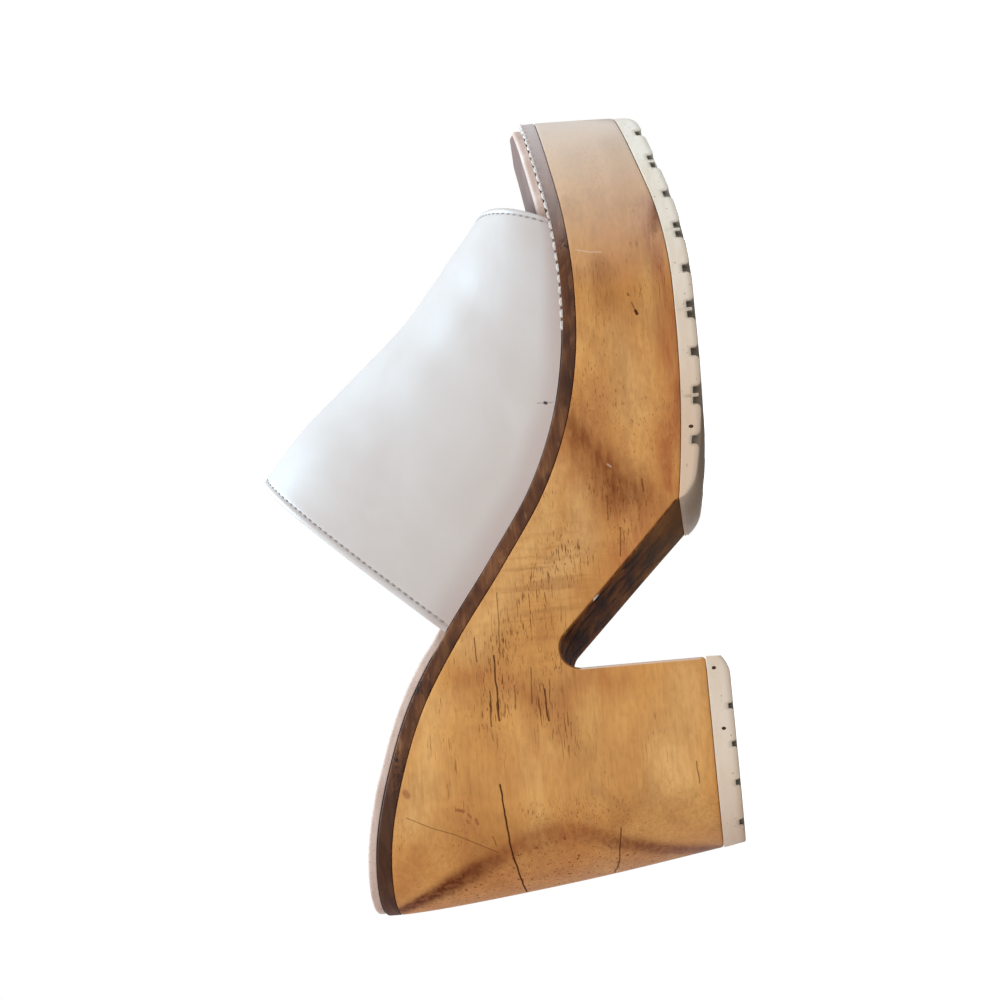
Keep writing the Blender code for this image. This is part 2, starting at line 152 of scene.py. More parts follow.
# Upper
WALL, LINING, LINING_EDGE, LINING_GAP = 2.0, 0.5, 1.3, 0.04
UPPER_SETBACK, UPPER_LIFT = 0.4, 0.15
ARCH_POWER, CROWN_OFFSET = 2.25, 1.5
UPPER = np.array([
    # part of the way, inner joint, outer joint, crown station, crown height
    (0.0, 81.5, 90.0, 138.0, 140.3),
    (0.2, 104.5, 112.0, 154.0, 126.5),
    (0.4, 128.5, 134.0, 169.5, 108.7),
    (0.6, 153.0, 156.0, 184.0, 92.0),
    (0.8, 178.5, 178.0, 199.5, 78.3),
    (1.0, 204.0, 200.0, 213.5, 65.8),
])
UPPER_ACROSS, UPPER_ALONG, UPPER_SAMPLES, FOLD_STEPS = 190, 84, 241, 7
EDGE_ZONE, EDGE_ZONE_POINTS, CLOSE_ZONE, CLOSE_STEP = 6.0, 5, 1.0, 0.2
STITCH_INSET, STITCH_PITCH, STITCH_LENGTH, STITCH_RADIUS = 2.1, 2.3, 1.55, 0.27
STITCH_MARGIN, STITCH_LIFT, STITCH_HOLE = 1.5, 0.02, 0.3
STITCH_TROUGH, STITCH_TROUGH_WIDTH = 0.22, 0.55
FOLD_BULGE, FOLD_BULGE_PLACE, FOLD_BULGE_WIDTH = 0.16, 1.2, 0.7
JOINT_SOIL, EDGE_SOIL, EDGE_SOIL_REACH = 0.045, 0.25, 2.0  # share of the way across, strength, reach
CREASES = [
    # way and across at one end, way and across at the other, depth, half width
    ((0.775, 0.36), (0.79, 0.62), 0.12, 3.0),
    ((0.74, 0.24), (0.60, 0.06), 0.14, 5.0),
    ((0.56, 0.30), (0.47, 0.08), 0.18, 6.0),
    ((0.92, 0.40), (0.85, 0.18), 0.07, 4.0),
    ((0.30, 0.36), (0.22, 0.14), 0.14, 7.0),
    ((0.72, 0.78), (0.58, 0.95), 0.24, 4.5),
    ((0.52, 0.70), (0.45, 0.92), 0.20, 6.0),
    ((0.88, 0.62), (0.82, 0.84), 0.18, 3.5),
]
CREASE_POINTS, RIDGE, RIDGE_PLACE = 9, 0.4, 2.0  # ridges as shares of a crease's depth and half width
SLACK_FADE = 6.0
SLACK_WAVES = [
    # height, length along, length across, length up, shift
    (0.05, 9.0, 13.0, math.inf, 0.0),
    (0.05, math.inf, -8.0, 11.0, 1.0),
]

# Thread: ranges of a stitch's length and thickness in shares, and of its slant
THREAD_LONG, THREAD_THICK, THREAD_SLANT = (0.9, 1.08), (0.9, 1.1), (-0.12, 0.12)
THREAD_ROUND, THREAD_SINK = 3, 0.5  # power of the ends' rounding, their dip in thicknesses
THREAD_SIDES, THREAD_RINGS, THREAD_STEP = 8, 7, 0.4
GREY_THREAD, WELT_THREAD = ((166, 158, 152), (120, 112, 107)), ((232, 224, 214), (186, 170, 158))
# Welt thread along the front of the midsole
WELT_START, WELT_PITCH, WELT_LENGTH, WELT_RADIUS, WELT_INSET = 166.0, 3.6, 2.9, 0.48, 0.12
WELT_STEP, WELT_MARGIN = 0.8, 1.0

# Nails in the inner side of the outsoles: station, height
NAILS = ((62.6, 4.6), (40.3, 3.4), (135.6, 4.5))
NAIL_RADIUS, NAIL_STRETCH, NAIL_SINK, NAIL_SIDES, NAIL_ROWS = 0.85, (1.0, 0.45, 1.25), 0.30, 16, 10

# Figure of the wood on its inner wall, in soft streaks of each kind: half width, strength, then the station
# and height of each point
STREAKS = {
    "stain": [
        (4.2, 0.55, ((140.5, 41), (136, 39.4), (131, 36), (126.5, 32.6))),
        (5.8, 0.58, ((127.5, 33), (122.5, 29.8), (117.2, 25.2))),
        (3.4, 0.40, ((138, 41.5), (131.5, 40.2), (126, 38))),
        (3.4, 0.30, ((128, 26.5), (121, 24.4))),
        (1.5, 0.60, ((204.5, 9.9), (200.3, 9.6), (195, 9))),
        (1.6, 0.30, ((236.2, 16.2), (241, 20), (244, 24))),
        (1.2, 0.34, ((244.6, 25), (245.5, 35), (246, 46))),
        (3.0, 0.26, ((187, 28), (180, 27.4), (175, 25))),
    ],
    "red": [
        (9.0, 0.50, ((146, 34), (134, 34), (124, 36))),
        (8.0, 0.80, ((134, 38), (127, 33), (120, 28), (112, 22))),
        (4.6, 0.85, ((206, 11.5), (190, 9.4), (172, 8.2), (156, 7.8), (142, 8.6), (130, 10.6))),
        (3.0, 0.90, ((156, 7.6), (142, 8.6), (130, 10.6), (118.5, 13.6))),
        (10.0, 0.24, ((206, 24), (176, 20), (150, 26))),
        (6.0, 0.70, ((116, 21.5), (110, 20.8), (105, 22), (99, 28))),
        (4.5, 0.48, ((68.5, 81), (65.4, 69.5), (60.5, 58.2), (53.8, 51), (47.3, 52.5))),
        (4.5, 0.55, ((53.8, 50.5), (60, 46.5), (64.8, 43.5), (62.6, 34))),
        (6.0, 0.18, ((190, 26), (178, 27), (168, 24))),
        (5.0, 0.30, ((27, 82), (19, 80), (14, 83))),
        (5.0, 0.40, ((16, 98), (8, 101))),
        (9.0, 0.16, ((42, 66), (37, 48), (40, 30))),
    ],
    "dim": [
        (14.0, 0.34, ((52, 46), (36, 38), (22, 30))),
        (9.0, 0.34, ((62, 60), (61, 46))),
        (9.0, 0.36, ((21, 88), (19, 60))),
        (8.0, 0.22, ((20, 34), (20, 12))),
        (9.0, 0.22, ((62, 75), (80, 60), (97, 50))),
        (7.0, 0.22, ((36, 60), (35, 90))),
        (6.0, 0.42, ((192, 12.5), (168, 13))),
        (7.0, 0.32, ((174, 30), (170, 21), (140, 31))),
        (7.0, 0.40, ((226, 19), (208, 17))),
        (7.0, 0.30, ((206, 34), (184, 31))),
        (9.0, 0.24, ((226, 30), (206, 26))),
    ],
    "light": [
        (7.0, 0.70, ((124, 47), (110, 52), (97.4, 61.4), (77.4, 76))),
        (6.0, 0.80, ((118, 39), (108, 40), (96, 50))),
        (6.0, 0.45, ((60.5, 87.5), (42.3, 93.5), (26.4, 97))),
        (7.0, 0.65, ((61, 12), (50.2, 15.5), (33.1, 18.7))),
        (5.0, 0.50, ((164.6, 23.6), (153.7, 22), (141.4, 21.5))),
    ],
    "pores": [
        (8.0, 1.00, ((103, 44.8), (89.7, 54.9), (76.4, 65.8), (57.4, 71.3))),
        (7.0, 0.90, ((71.4, 50.9), (54.1, 55.7), (46.4, 49.2))),
        (6.0, 0.80, ((121.3, 32.4), (113.4, 24.2), (101.4, 28.2))),
        (5.0, 0.70, ((25, 62), (24, 45), (20, 30))),
        (7.0, 0.55, ((186, 29), (168, 27))),
    ],
}
# The outer wall has a figure of its own
OUTER_STREAKS = {
    "stain": [
        (4.0, 0.70, ((150, 32), (138, 26), (122, 22))),
        (2.0, 0.40, ((212, 12), (204, 10.5), (196, 9.6))),
    ],
    "red": [
        (6.0, 0.60, ((64, 74), (54, 62), (58, 44), (64, 32))),
        (9.0, 0.80, ((238, 30), (222, 24), (204, 22))),
        (3.6, 0.80, ((190, 9), (160, 8), (130, 10.5))),
    ],
    "light": [
        (7.0, 0.85, ((124, 46), (100, 58), (78, 72))),
        (9.0, 0.70, ((52, 84), (40, 64), (36, 40))),
        (5.0, 0.60, ((176, 22), (150, 21))),
    ],
    "pores": [
        (9.0, 0.90, ((96, 50), (74, 62), (50, 58))),
        (6.0, 0.90, ((9, 76), (11, 50), (10, 26))),
    ],
}
STREAK_WOBBLE, STREAK_WAVES = 1.2, ((9.0, 4.3), (5.1, -7.0))  # lengths along and up
SIDE_FADE = 6.0  # the figure of a side is fully there this far from the middle
# Growth ring low in the heel, a crescent that the speckled redder wood lies behind
HEEL_RING = np.array([
    # height, station, half thickness, darkness
    (6.0, 12.0, 0.9, 0.66),
    (23.2, 12.9, 1.6, 0.60),
    (33.0, 14.9, 2.2, 0.56),
    (39.5, 16.6, 2.6, 0.44),
    (45.8, 18.9, 3.2, 0.28),
    (52.2, 20.0, 3.7, 0.18),
    (59.0, 19.2, 3.7, 0.16),
    (66.0, 17.2, 3.4, 0.22),
    (73.0, 14.3, 2.9, 0.42),
    (80.2, 11.3, 3.0, 0.72),
    (87.5, 8.1, 2.7, 0.90),
    (95.2, 4.9, 1.9, 0.95),
    (105.0, 1.3, 1.0, 0.90),
])
RING_TILT = 0.55  # towards the outer side the ring lies this much further forward for each millimetre
RING_FRONT, RING_BACK, RING_RED, BEHIND_RED, BEHIND_STEP = 0.8, 1.2, 0.70, 0.46, 3.0
# Curly figure across the grain at the waist, and the paler toe, partly bleached lacquer and partly painted
# glare: stations
CURL_MIDDLE, CURL_REACH, CURL_HEIGHT, CURL_RISE = 92.0, 20.0, 52.0, 17.0
BLEACH_GLARE_START, BLEACH_GLARE_END, BLEACH_GLARE_POWER = 178.0, 240.0, 1.2
DIM_SHADE = (0.60, 0.56, 0.53, 1.0)
# The band's paler toe, partly bleached and partly painted glare, its dark stretches and its scuffs: station,
# height
BAND_BLEACH_GLARE_START, BAND_BLEACH_GLARE_END = 190.0, 240.0
SCUFFS = ((45.0, 100.5), (41.5, 99.7), (37.4, 101.0), (35.2, 99.7), (65.5, 92.4), (194.0, 37.0))
SCUFF_REACH = 2.2
BAND_DARK = np.array([
    # station, darkness
    (0.0, 0.70),
    (32.0, 0.80),
    (46.0, 0.10),
    (66.0, 0.00),
    (76.0, 0.40),
    (86.0, 0.00),
    (112.0, 0.00),
    (121.0, 0.30),
    (129.0, 0.00),
    (141.0, 0.00),
    (151.0, 0.75),
    (163.0, 0.40),
    (182.0, 0.15),
])

# Cracks and long pores on the inner wall: half width, strength, then the station and height of each point
CRACKS = [
    (0.24, 1.00, ((34.7, 70.2), (27.3, 69.6), (17.9, 69.2), (11.5, 68.2), (6.3, 67.5), (2.6, 66.9))),
    (0.24, 0.90, ((73.1, 69.2), (53.6, 69))),
    (0.15, 0.60, ((92, 67), (74, 67.4))),
    (0.22, 0.85, ((61.8, 55.1), (52.2, 54.4))),
    (0.2, 0.65, ((79, 74.9), (71.8, 74.6))),
    (0.2, 0.70, ((62.6, 71.3), (52, 71.3))),
    (0.18, 0.55, ((63.7, 63.8), (56.6, 63.9))),
    (0.18, 0.55, ((68.5, 58.5), (57.9, 58.9))),
    (0.16, 0.70, ((36.6, 12.1), (30.3, 11.9))),
    (0.18, 0.80, ((19.5, 36.2), (14, 37), (10.2, 38), (7.2, 40.2))),
    (0.18, 0.65, ((108, 28.2), (99.5, 29))),
    (0.15, 0.50, ((27.3, 98.8), (24, 91.8), (21.5, 85.2), (18.5, 79), (15.3, 73))),
    (0.16, 0.55, ((19.9, 73.8), (17.4, 73.2))),
    (0.22, 0.60, ((121.5, 20.6), (118, 20.3))),
    (0.18, 0.50, ((117.5, 31.3), (110.5, 31.8))),
    (0.42, 1.00, ((171, 17.7), (170, 17.2))),
    (0.22, 0.60, ((173.6, 18.6), (171.6, 17.9))),
    (0.26, 0.70, ((176.4, 19.4), (175.9, 19.3))),
]
# Reddish spots, in the same form
SPOTS = [
    (0.9, 0.60, ((34.7, 98.3), (33.8, 97.8))),
    (0.45, 0.75, ((28.4, 83.6), (27.9, 81.8))),
    (0.4, 0.65, ((26.9, 80.4), (26.1, 79.8))),
    (0.42, 0.70, ((25.2, 78.3), (23.9, 77.8))),
    (0.34, 0.60, ((25.1, 81), (24.4, 80.6))),
]
# Pale scratches and chips, in the same form
SCRATCHES = [
    (0.16, 0.35, ((192, 34), (190.8, 30), (190.4, 26.5))),
    (0.6, 1.00, ((87.9, 36.8), (87.2, 37.6))),
    (0.25, 0.35, ((126.8, 30.3), (126, 29.4))),
]
# Dark fleck low on the band, and the faint line through it
FLECKS = [
    (0.42, 1.00, ((146.5, 47.3), (146.3, 46.9))),
    (0.14, 0.40, ((146.6, 49.6), (146.3, 45.2))),
]
LINE_WOBBLE, LINE_WOBBLE_SIZE = 1.2, 6
LINE_FADE, LINE_CORE = 1.6, 0.5  # shares of a line's half width where it ends and where it is full
INNER_SIDE = -4.0  # lines are drawn on the inner side of this
GRAIN = 0.75


# The shoe's own curves

def limited(value):
    return np.clip(value, 0, 1)


def bell(distance, half=1.0):
    """1 at no distance, fading away past the half width."""
    return np.exp(-((distance / half) ** 2))


def straight(table, column, x):
    """Straight lines through one column of a table, over its first column."""
    return np.interp(x, table[:, 0], table[:, column])


def smooth(table, column, x, end_slopes=None):
    """Smooth curve through one column of a table, over its first column."""
    xs, ys = table[:, 0], table[:, column]
    slopes = np.gradient(ys, xs)
    if end_slopes is not None:
        slopes[[0, -1]] = end_slopes
    x = np.asarray(x, float)
    i = np.clip(np.searchsorted(xs, x, side="right") - 1, 0, len(xs) - 2)
    span = xs[i + 1] - xs[i]
    t = (x - xs[i]) / span
    climb = ys[i + 1] - ys[i]
    bend_0 = slopes[i] * span - climb
    bend_1 = climb - slopes[i + 1] * span
    return ys[i] + climb * t + t * (1 - t) * (bend_0 * (1 - t) + bend_1 * t)


def half_width(x, column):
    """Half width of the sole at a station: 1 is the inner side, 2 the outer side."""
    toe_start = LENGTH - TOE_ROUND
    middle = smooth(OUTLINE, column, np.clip(x, HEEL_ROUND, toe_start), (0.0, 0.0))
    past_heel = limited((HEEL_ROUND - x) / HEEL_ROUND)
    past_toe = limited((x - toe_start) / TOE_ROUND)
    return middle * np.sqrt(1 - past_heel**2) * np.sqrt(1 - past_toe**2)


def footbed(x):
    return smooth(FOOTBED, 1, x)


def above_footbed(x, height):
    """Height of a layer's face that lies this far from the wood, square to the footbed."""
    slope = (footbed(x + SLOPE_STEP) - footbed(x - SLOPE_STEP)) / (2 * SLOPE_STEP)
    return footbed(x) + height * np.sqrt(1 + slope**2)


def rise(distance, radius, reach=math.inf):
    """Rise of an arc of this radius at a distance past its lowest point. Past its reach it runs straight."""
    distance = np.maximum(distance, 0)
    on_arc = np.minimum(distance, reach)
    below_centre = np.sqrt(radius**2 - on_arc**2)
    return radius - below_centre + (distance - on_arc) * on_arc / below_centre


def outsole_under(x):
    rear = rise(FLAT_REAR - x, REAR_ROCKER) + rise(REAR_WEAR_START - x, REAR_WEAR)
    return rear + rise(x - FLAT_FRONT, TOE_SPRING, SPRING_REACH) + rise(x - TIP_WEAR_START, TIP_WEAR)


def outsole_top(x):
    behind, ahead = WOOD_FLAT_REAR - x, x - FLAT_FRONT
    curve = rise(behind, WOOD_REAR_ROCKER) + rise(ahead, TOE_SPRING - OUTSOLE, SPRING_REACH)
    return OUTSOLE + SEAM_FILL + curve


def heel_under(x):
    return rise(x - HEEL_CORNER_START, HEEL_CORNER)


def heel_top(x):
    return np.full(np.shape(x), HEEL_OUTSOLE + SEAM_FILL)


def leaned(x, z):
    """Station after the heel's lean and the toe's undercut at this height."""
    drop = limited(1 - z / SEAT_HEIGHT)
    at_heel = limited(1 - x / HEEL_BREAST)
    at_toe = limited((x - LENGTH + TOE_ROUND) / TOE_ROUND)
    low = limited(1 - z / (footbed(x) - UNDERCUT_TOP))
    return x + HEEL_LEAN * drop**HEEL_LEAN_POWER * at_heel - TOE_UNDERCUT * low * at_toe**2


def stations(start, end, step):
    """Stations about a step apart along the outline, so they crowd where it turns round the ends."""
    x = LENGTH / 2 * (1 - np.cos(np.linspace(0, math.pi, OUTLINE_SAMPLES)))
    x = np.unique(np.clip(x, start, end))
    run = path_length(np.column_stack([x, half_width(x, 1)]))
    return np.interp(np.linspace(0, run[-1], math.ceil(run[-1] / step) + 1), run, x)


def path_length(points):
    """Length along a row of points, up to each of them."""
    return np.concatenate([[0.0], np.cumsum(np.linalg.norm(np.diff(points, axis=0), axis=1))])


def read_along(vectors, run, where):
    """Vectors at other lengths than those of the row that they are known for."""
    return np.column_stack([np.interp(where, run, part) for part in vectors.T])


def arc(centre, radius, start, end, count):
    turn = np.radians(np.linspace(start, end, count))
    return np.column_stack([centre[0] + radius * np.cos(turn), centre[1] + radius * np.sin(turn)])


def unit(vectors):
    return vectors / np.linalg.norm(vectors, axis=-1, keepdims=True)


def waves(rows, *axes):
    """Sum of waves. A row has a wave's height, its length along each axis, and its shift."""
    total = 0.0
    for height, *lengths, shift in rows:
        total = total + height * np.sin(sum(axis / length for axis, length in zip(axes, lengths)) + shift)
    return total


def inward(x, side):
    """Plan direction into the shoe, square to its outline, on the inner (-1) or outer (1) side."""
    low = np.clip(x - EDGE_STEP, 0, LENGTH - EDGE_STEP)
    high = np.clip(x + EDGE_STEP, EDGE_STEP, LENGTH)
    slope = (half_width(high, COLUMN[side]) - half_width(low, COLUMN[side])) / (high - low)
    size = np.sqrt(1 + slope**2)
    tip = half_width(x, COLUMN[side]) < POINT_WIDTH
    return np.where(tip, np.sign(slope), slope / size), np.where(tip, 0.0, -side / size)


def wall(x, z, side, inset):
    """Points on the sole's side wall, moved into the shoe by inset."""
    into_x, into_y = inward(x, side)
    y = side * half_width(x, COLUMN[side])
    return np.stack([leaned(x + into_x * inset, z), y + into_y * inset, z], axis=-1)


# Meshes

def add_object(name, data):
    obj = bpy.data.objects.new(name, data)
    bpy.context.scene.collection.objects.link(obj)
    return obj


def place(name, points, faces, materials, attributes=None, choice=None):
    """Object from points in the shoe's millimetres, its doubled points merged and its faces turned out.
    Choice gives each face's place in the list of materials."""
    mesh = bpy.data.meshes.new(name)
    mesh.from_pydata(((points.reshape(-1, 3) - CENTRE) * MM).tolist(), [], faces)
    for material in materials:
        mesh.materials.append(material)
    if choice is not None:
        mesh.polygons.foreach_set("material_index", choice)
    for key, values in (attributes or {}).items():
        layer = mesh.attributes.new(key, "FLOAT", "POINT")
        layer.data.foreach_set("value", np.ascontiguousarray(values, np.float32).ravel())
    shape = bmesh.new()
    shape.from_mesh(mesh)
    bmesh.ops.remove_doubles(shape, verts=shape.verts, dist=WELD_M)
    bmesh.ops.recalc_face_normals(shape, faces=shape.faces)
    shape.to_mesh(mesh)
    shape.free()
    mesh.shade_smooth()
    mesh.set_sharp_from_angle(angle=math.radians(SHARP_ANGLE))
    return add_object(name, mesh)


def add_piece(obj, slot, *nodes):
    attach(obj, "root")
    if nodes:
        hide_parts(*nodes)


def ring_faces(sections, count):
    """Faces between closed sections of count points each."""
    first = np.arange(sections - 1)[:, None] * count
    here, beside = first + np.arange(count), first + (np.arange(count) + 1) % count
    return np.stack([here, beside, beside + count, here + count], axis=-1).reshape(-1, 4).tolist()


def upward(profile):
    """Directions square to a side profile, up from one that runs to the toe."""
    along = unit(np.gradient(profile, axis=0))
    return np.column_stack([-along[:, 1], along[:, 0]])


def rounded(face, away, rim, turn):
    """One row of points of a rounded edge, and how far it lies in from the wall."""
    return face + away * (rim * (1 - math.sin(turn)))[:, None], rim * (1 - math.cos(turn))


def sole_grid(under, top, rim_under, rim_top, rows, across, setback=None, crown=0.0, uneven=None,
              plain=None):
    """Sections of a sole piece between two side profiles with matching points, and each point's level,
    which is 0 on the under face and 1 on the top face. Crown is the height of the top face's middle above
    its edges. Away from the edges the under face has the heights of plain, so that its notches are short."""
    up, down = upward(under), -upward(top)
    from_tip = np.minimum(under[:, 0], LENGTH - under[:, 0])
    up[:, 0] *= limited(from_tip / TIP_REACH)
    down[:, 0] *= limited(from_tip / TIP_REACH)
    thick = np.linalg.norm(top - under, axis=1)
    rim_under, rim_top = (np.minimum(rim, RIM_SHARE * thick) for rim in (rim_under, rim_top))
    wall_top, wall_under = top + down * rim_top[:, None], under + up * rim_under[:, None]
    turns = np.radians(RIM_TURNS)
    rings = [(*rounded(top, down, rim_top, t), 1 - RIM_LEVEL / 2) for t in turns]
    for level in np.linspace(1, 0, rows + 2)[1:-1]:
        rings.append((wall_under + level * (wall_top - wall_under), 0.0 * thick, level))
    for t in turns[::-1]:
        rings.append((*rounded(under, up, rim_under, t), round(RIM_LEVEL * math.cos(t), 6)))
    sides = []
    for side in (-1, 1):
        points = []
        for profile, inset, _ in rings:
            x, z = profile.T
            inset = inset + (setback(x, side) if setback else 0.0) + (uneven(x, z) if uneven else 0.0)
            points.append(wall(x, z, side, inset))
        sides.append(np.stack(points, axis=1))
    inner, outer = sides
    share = np.linspace(0, 1, across + 2)[1:-1][None, :, None]
    under_face = inner[:, -1:] + share * (outer[:, -1:] - inner[:, -1:])
    top_face = outer[:, :1] + share * (inner[:, :1] - outer[:, :1])
    top_face[..., 2] += np.reshape(crown, (-1, 1)) * (1 - (2 * share[..., 0] - 1) ** 2)
    if plain is not None:
        width = np.linalg.norm(outer[:, -1:] - inner[:, -1:], axis=-1)
        from_edge = width * np.minimum(share, 1 - share)[..., 0]
        lower = np.minimum(under_face[..., 2], plain[:, None])
        under_face[..., 2] = np.where(from_edge > NOTCH_REACH, lower, under_face[..., 2])
    grid = np.concatenate([inner, under_face, outer[:, ::-1], top_face], axis=1)
    levels = np.array([ring[2] for ring in rings])
    level = np.concatenate([levels, np.zeros(across), levels[::-1], np.ones(across)])
    return grid, np.broadcast_to(level, grid.shape[:2])


def sole_object(name, grid, materials, attributes, caps=(False, False), choice=None):
    sections, count = grid.shape[:2]
    faces = ring_faces(sections, count)
    if caps[0]:
        faces.append(list(range(count)))
    if caps[1]:
        faces.append(list(range((sections - 1) * count, sections * count)))
    return place(name, grid, faces, materials, attributes, choice)


# Materials

def linear(*srgb):
    """Shader colour of an sRGB colour given as 0 to 255."""
    shares = [c / 255 for c in srgb]
    return (*[s / 12.92 if s <= 0.04045 else ((s + 0.055) / 1.055) ** 2.4 for s in shares], 1.0)


class Shade:
    """Short way to write one material's nodes. Lengths are millimetres in the shoe's frame."""

    colour = None

    def __init__(self, name, **sockets):
        self.material = bpy.data.materials.new(name)
        self.material.use_nodes = True
        self.tree = self.material.node_tree
        self.surface = self.tree.nodes["Principled BSDF"]
        for key, value in sockets.items():
            self.surface.inputs[key.replace("_", " ")].default_value = value
        self.place = self.node("TexCoord", "Object")

    def node(self, kind, output, inputs=None, **settings):
        made = self.tree.nodes.new("ShaderNode" + kind)
        for key, value in settings.items():
            setattr(made, key, value)
        for key, value in (inputs or {}).items():
            if isinstance(value, bpy.types.NodeSocket):
                self.tree.links.new(value, made.inputs[key])
            else:
                made.inputs[key].default_value = value
        return made.outputs[output]

    def math(self, operation, a, b=0.0, clamp=False):
        return self.node("Math", 0, {0: a, 1: b}, operation=operation, use_clamp=clamp)

    def times(self, a, b, clamp=False):
        return self.math("MULTIPLY", a, b, clamp)

    def add(self, a, b):
        return self.math("ADD", a, b)

    def most(self, a, b):
        return self.math("MAXIMUM", a, b)

    def scaled(self, value, span, base):
        return self.add(self.times(value, span), base)

    def vector(self, operation, a, b, output=0):
        return self.node("VectorMath", output, {0: a, 1: b}, operation=operation)

    def step(self, value, low, high):
        """Smooth step from 0 at low to 1 at high."""
        limits = {"Value": value, "From Min": low, "From Max": high}
        return self.node("MapRange", 0, limits, interpolation_type="SMOOTHSTEP")

    def noise(self, size, detail=2.0, warp=0.0, shift=0.0):
        """Noise with lumps about size long, along x, y and z or every way. Shift picks a stretch of it."""
        scale = [1 / (s * MM) for s in np.broadcast_to(size, 3).tolist()]
        moved = {"Vector": self.place, "Scale": scale, "Location": (shift, shift, shift)}
        where = self.node("Mapping", 0, moved)
        inputs = {"Vector": where, "Scale": 1.0, "Detail": detail, "Distortion": warp}
        return self.node("TexNoise", 0, inputs)

    def patches(self, low, high, *noise):
        """Where noise passes from the low to the high value."""
        return self.step(self.noise(*noise), low, high)

    def mark(self, name):
        return self.node("Attribute", "Fac", attribute_name=name)

    def mix(self, share, a, b, blend="MIX"):
        return self.node("Mix", 2, {0: share, 6: a, 7: b}, data_type="RGBA", blend_type=blend)

    def tint(self, srgb, share, strength=None):
        """Mixes the surface's colour towards an sRGB one."""
        share = share if strength is None else self.times(share, strength)
        self.colour = self.mix(share, self.colour, linear(*srgb))

    def ramp(self, value, *stops):
        """Colour ramp with stops of a place and an sRGB colour."""
        made = self.tree.nodes.new("ShaderNodeValToRGB")
        self.tree.links.new(value, made.inputs[0])
        steps = made.color_ramp.elements
        while len(steps) < len(stops):
            steps.new(0.5)
        for step, (at, *srgb) in zip(steps, stops):
            step.position, step.color = at, linear(*srgb)
        return made.outputs[0]

    def near(self, where, points):
        """Distance, in metres, from a place in the side view to a line through (station, height) points."""
        best = None
        for a, b in zip(points, points[1:]):
            start = Vector(((a[0] - CENTRE[0]) * MM, 0, a[1] * MM))
            along = Vector(((b[0] - a[0]) * MM, 0, (b[1] - a[1]) * MM))
            offset = self.vector("SUBTRACT", where, start)
            share = self.vector("DOT_PRODUCT", offset, along / along.length_squared, "Value")
            share = self.times(share, 1.0, clamp=True)
            foot = self.node("VectorMath", 0, {0: along, "Scale": share}, operation="SCALE")
            apart = self.vector("DISTANCE", offset, foot, "Value")
            best = apart if best is None else self.math("MINIMUM", best, apart)
        return best

    def lines(self, rows):
        """Thin lines on the inner wall, from rows such as those of the cracks."""
        wobble = self.math("SUBTRACT", self.noise(LINE_WOBBLE_SIZE), 0.5)
        wobble = self.times(wobble, LINE_WOBBLE * MM)
        side_view = self.vector("MULTIPLY", self.place, (1.0, 0.0, 1.0))
        side_view = self.vector("ADD", side_view, self.node("CombineXYZ", 0, {"Z": wobble}))
        drawn = None
        for half, strength, points in rows:
            line = self.step(self.near(side_view, points), half * LINE_FADE * MM, half * LINE_CORE * MM)
            line = self.times(line, strength)
            drawn = line if drawn is None else self.most(drawn, line)
        across = self.node("SeparateXYZ", "Y", {0: self.place})
        return self.times(drawn, self.math("LESS_THAN", across, INNER_SIDE * MM))

    def bump(self, height, strength, depth):
        normal = self.node("Bump", 0, {"Height": height, "Strength": strength, "Distance": depth * MM})
        self.tree.links.new(normal, self.surface.inputs["Normal"])

    def rough(self, base, value, span):
        self.link(self.scaled(value, span, base), "Roughness")

    def link(self, value, socket):
        self.tree.links.new(value, self.surface.inputs[socket])

    def done(self):
        self.link(self.colour, "Base Color")
        return self.material


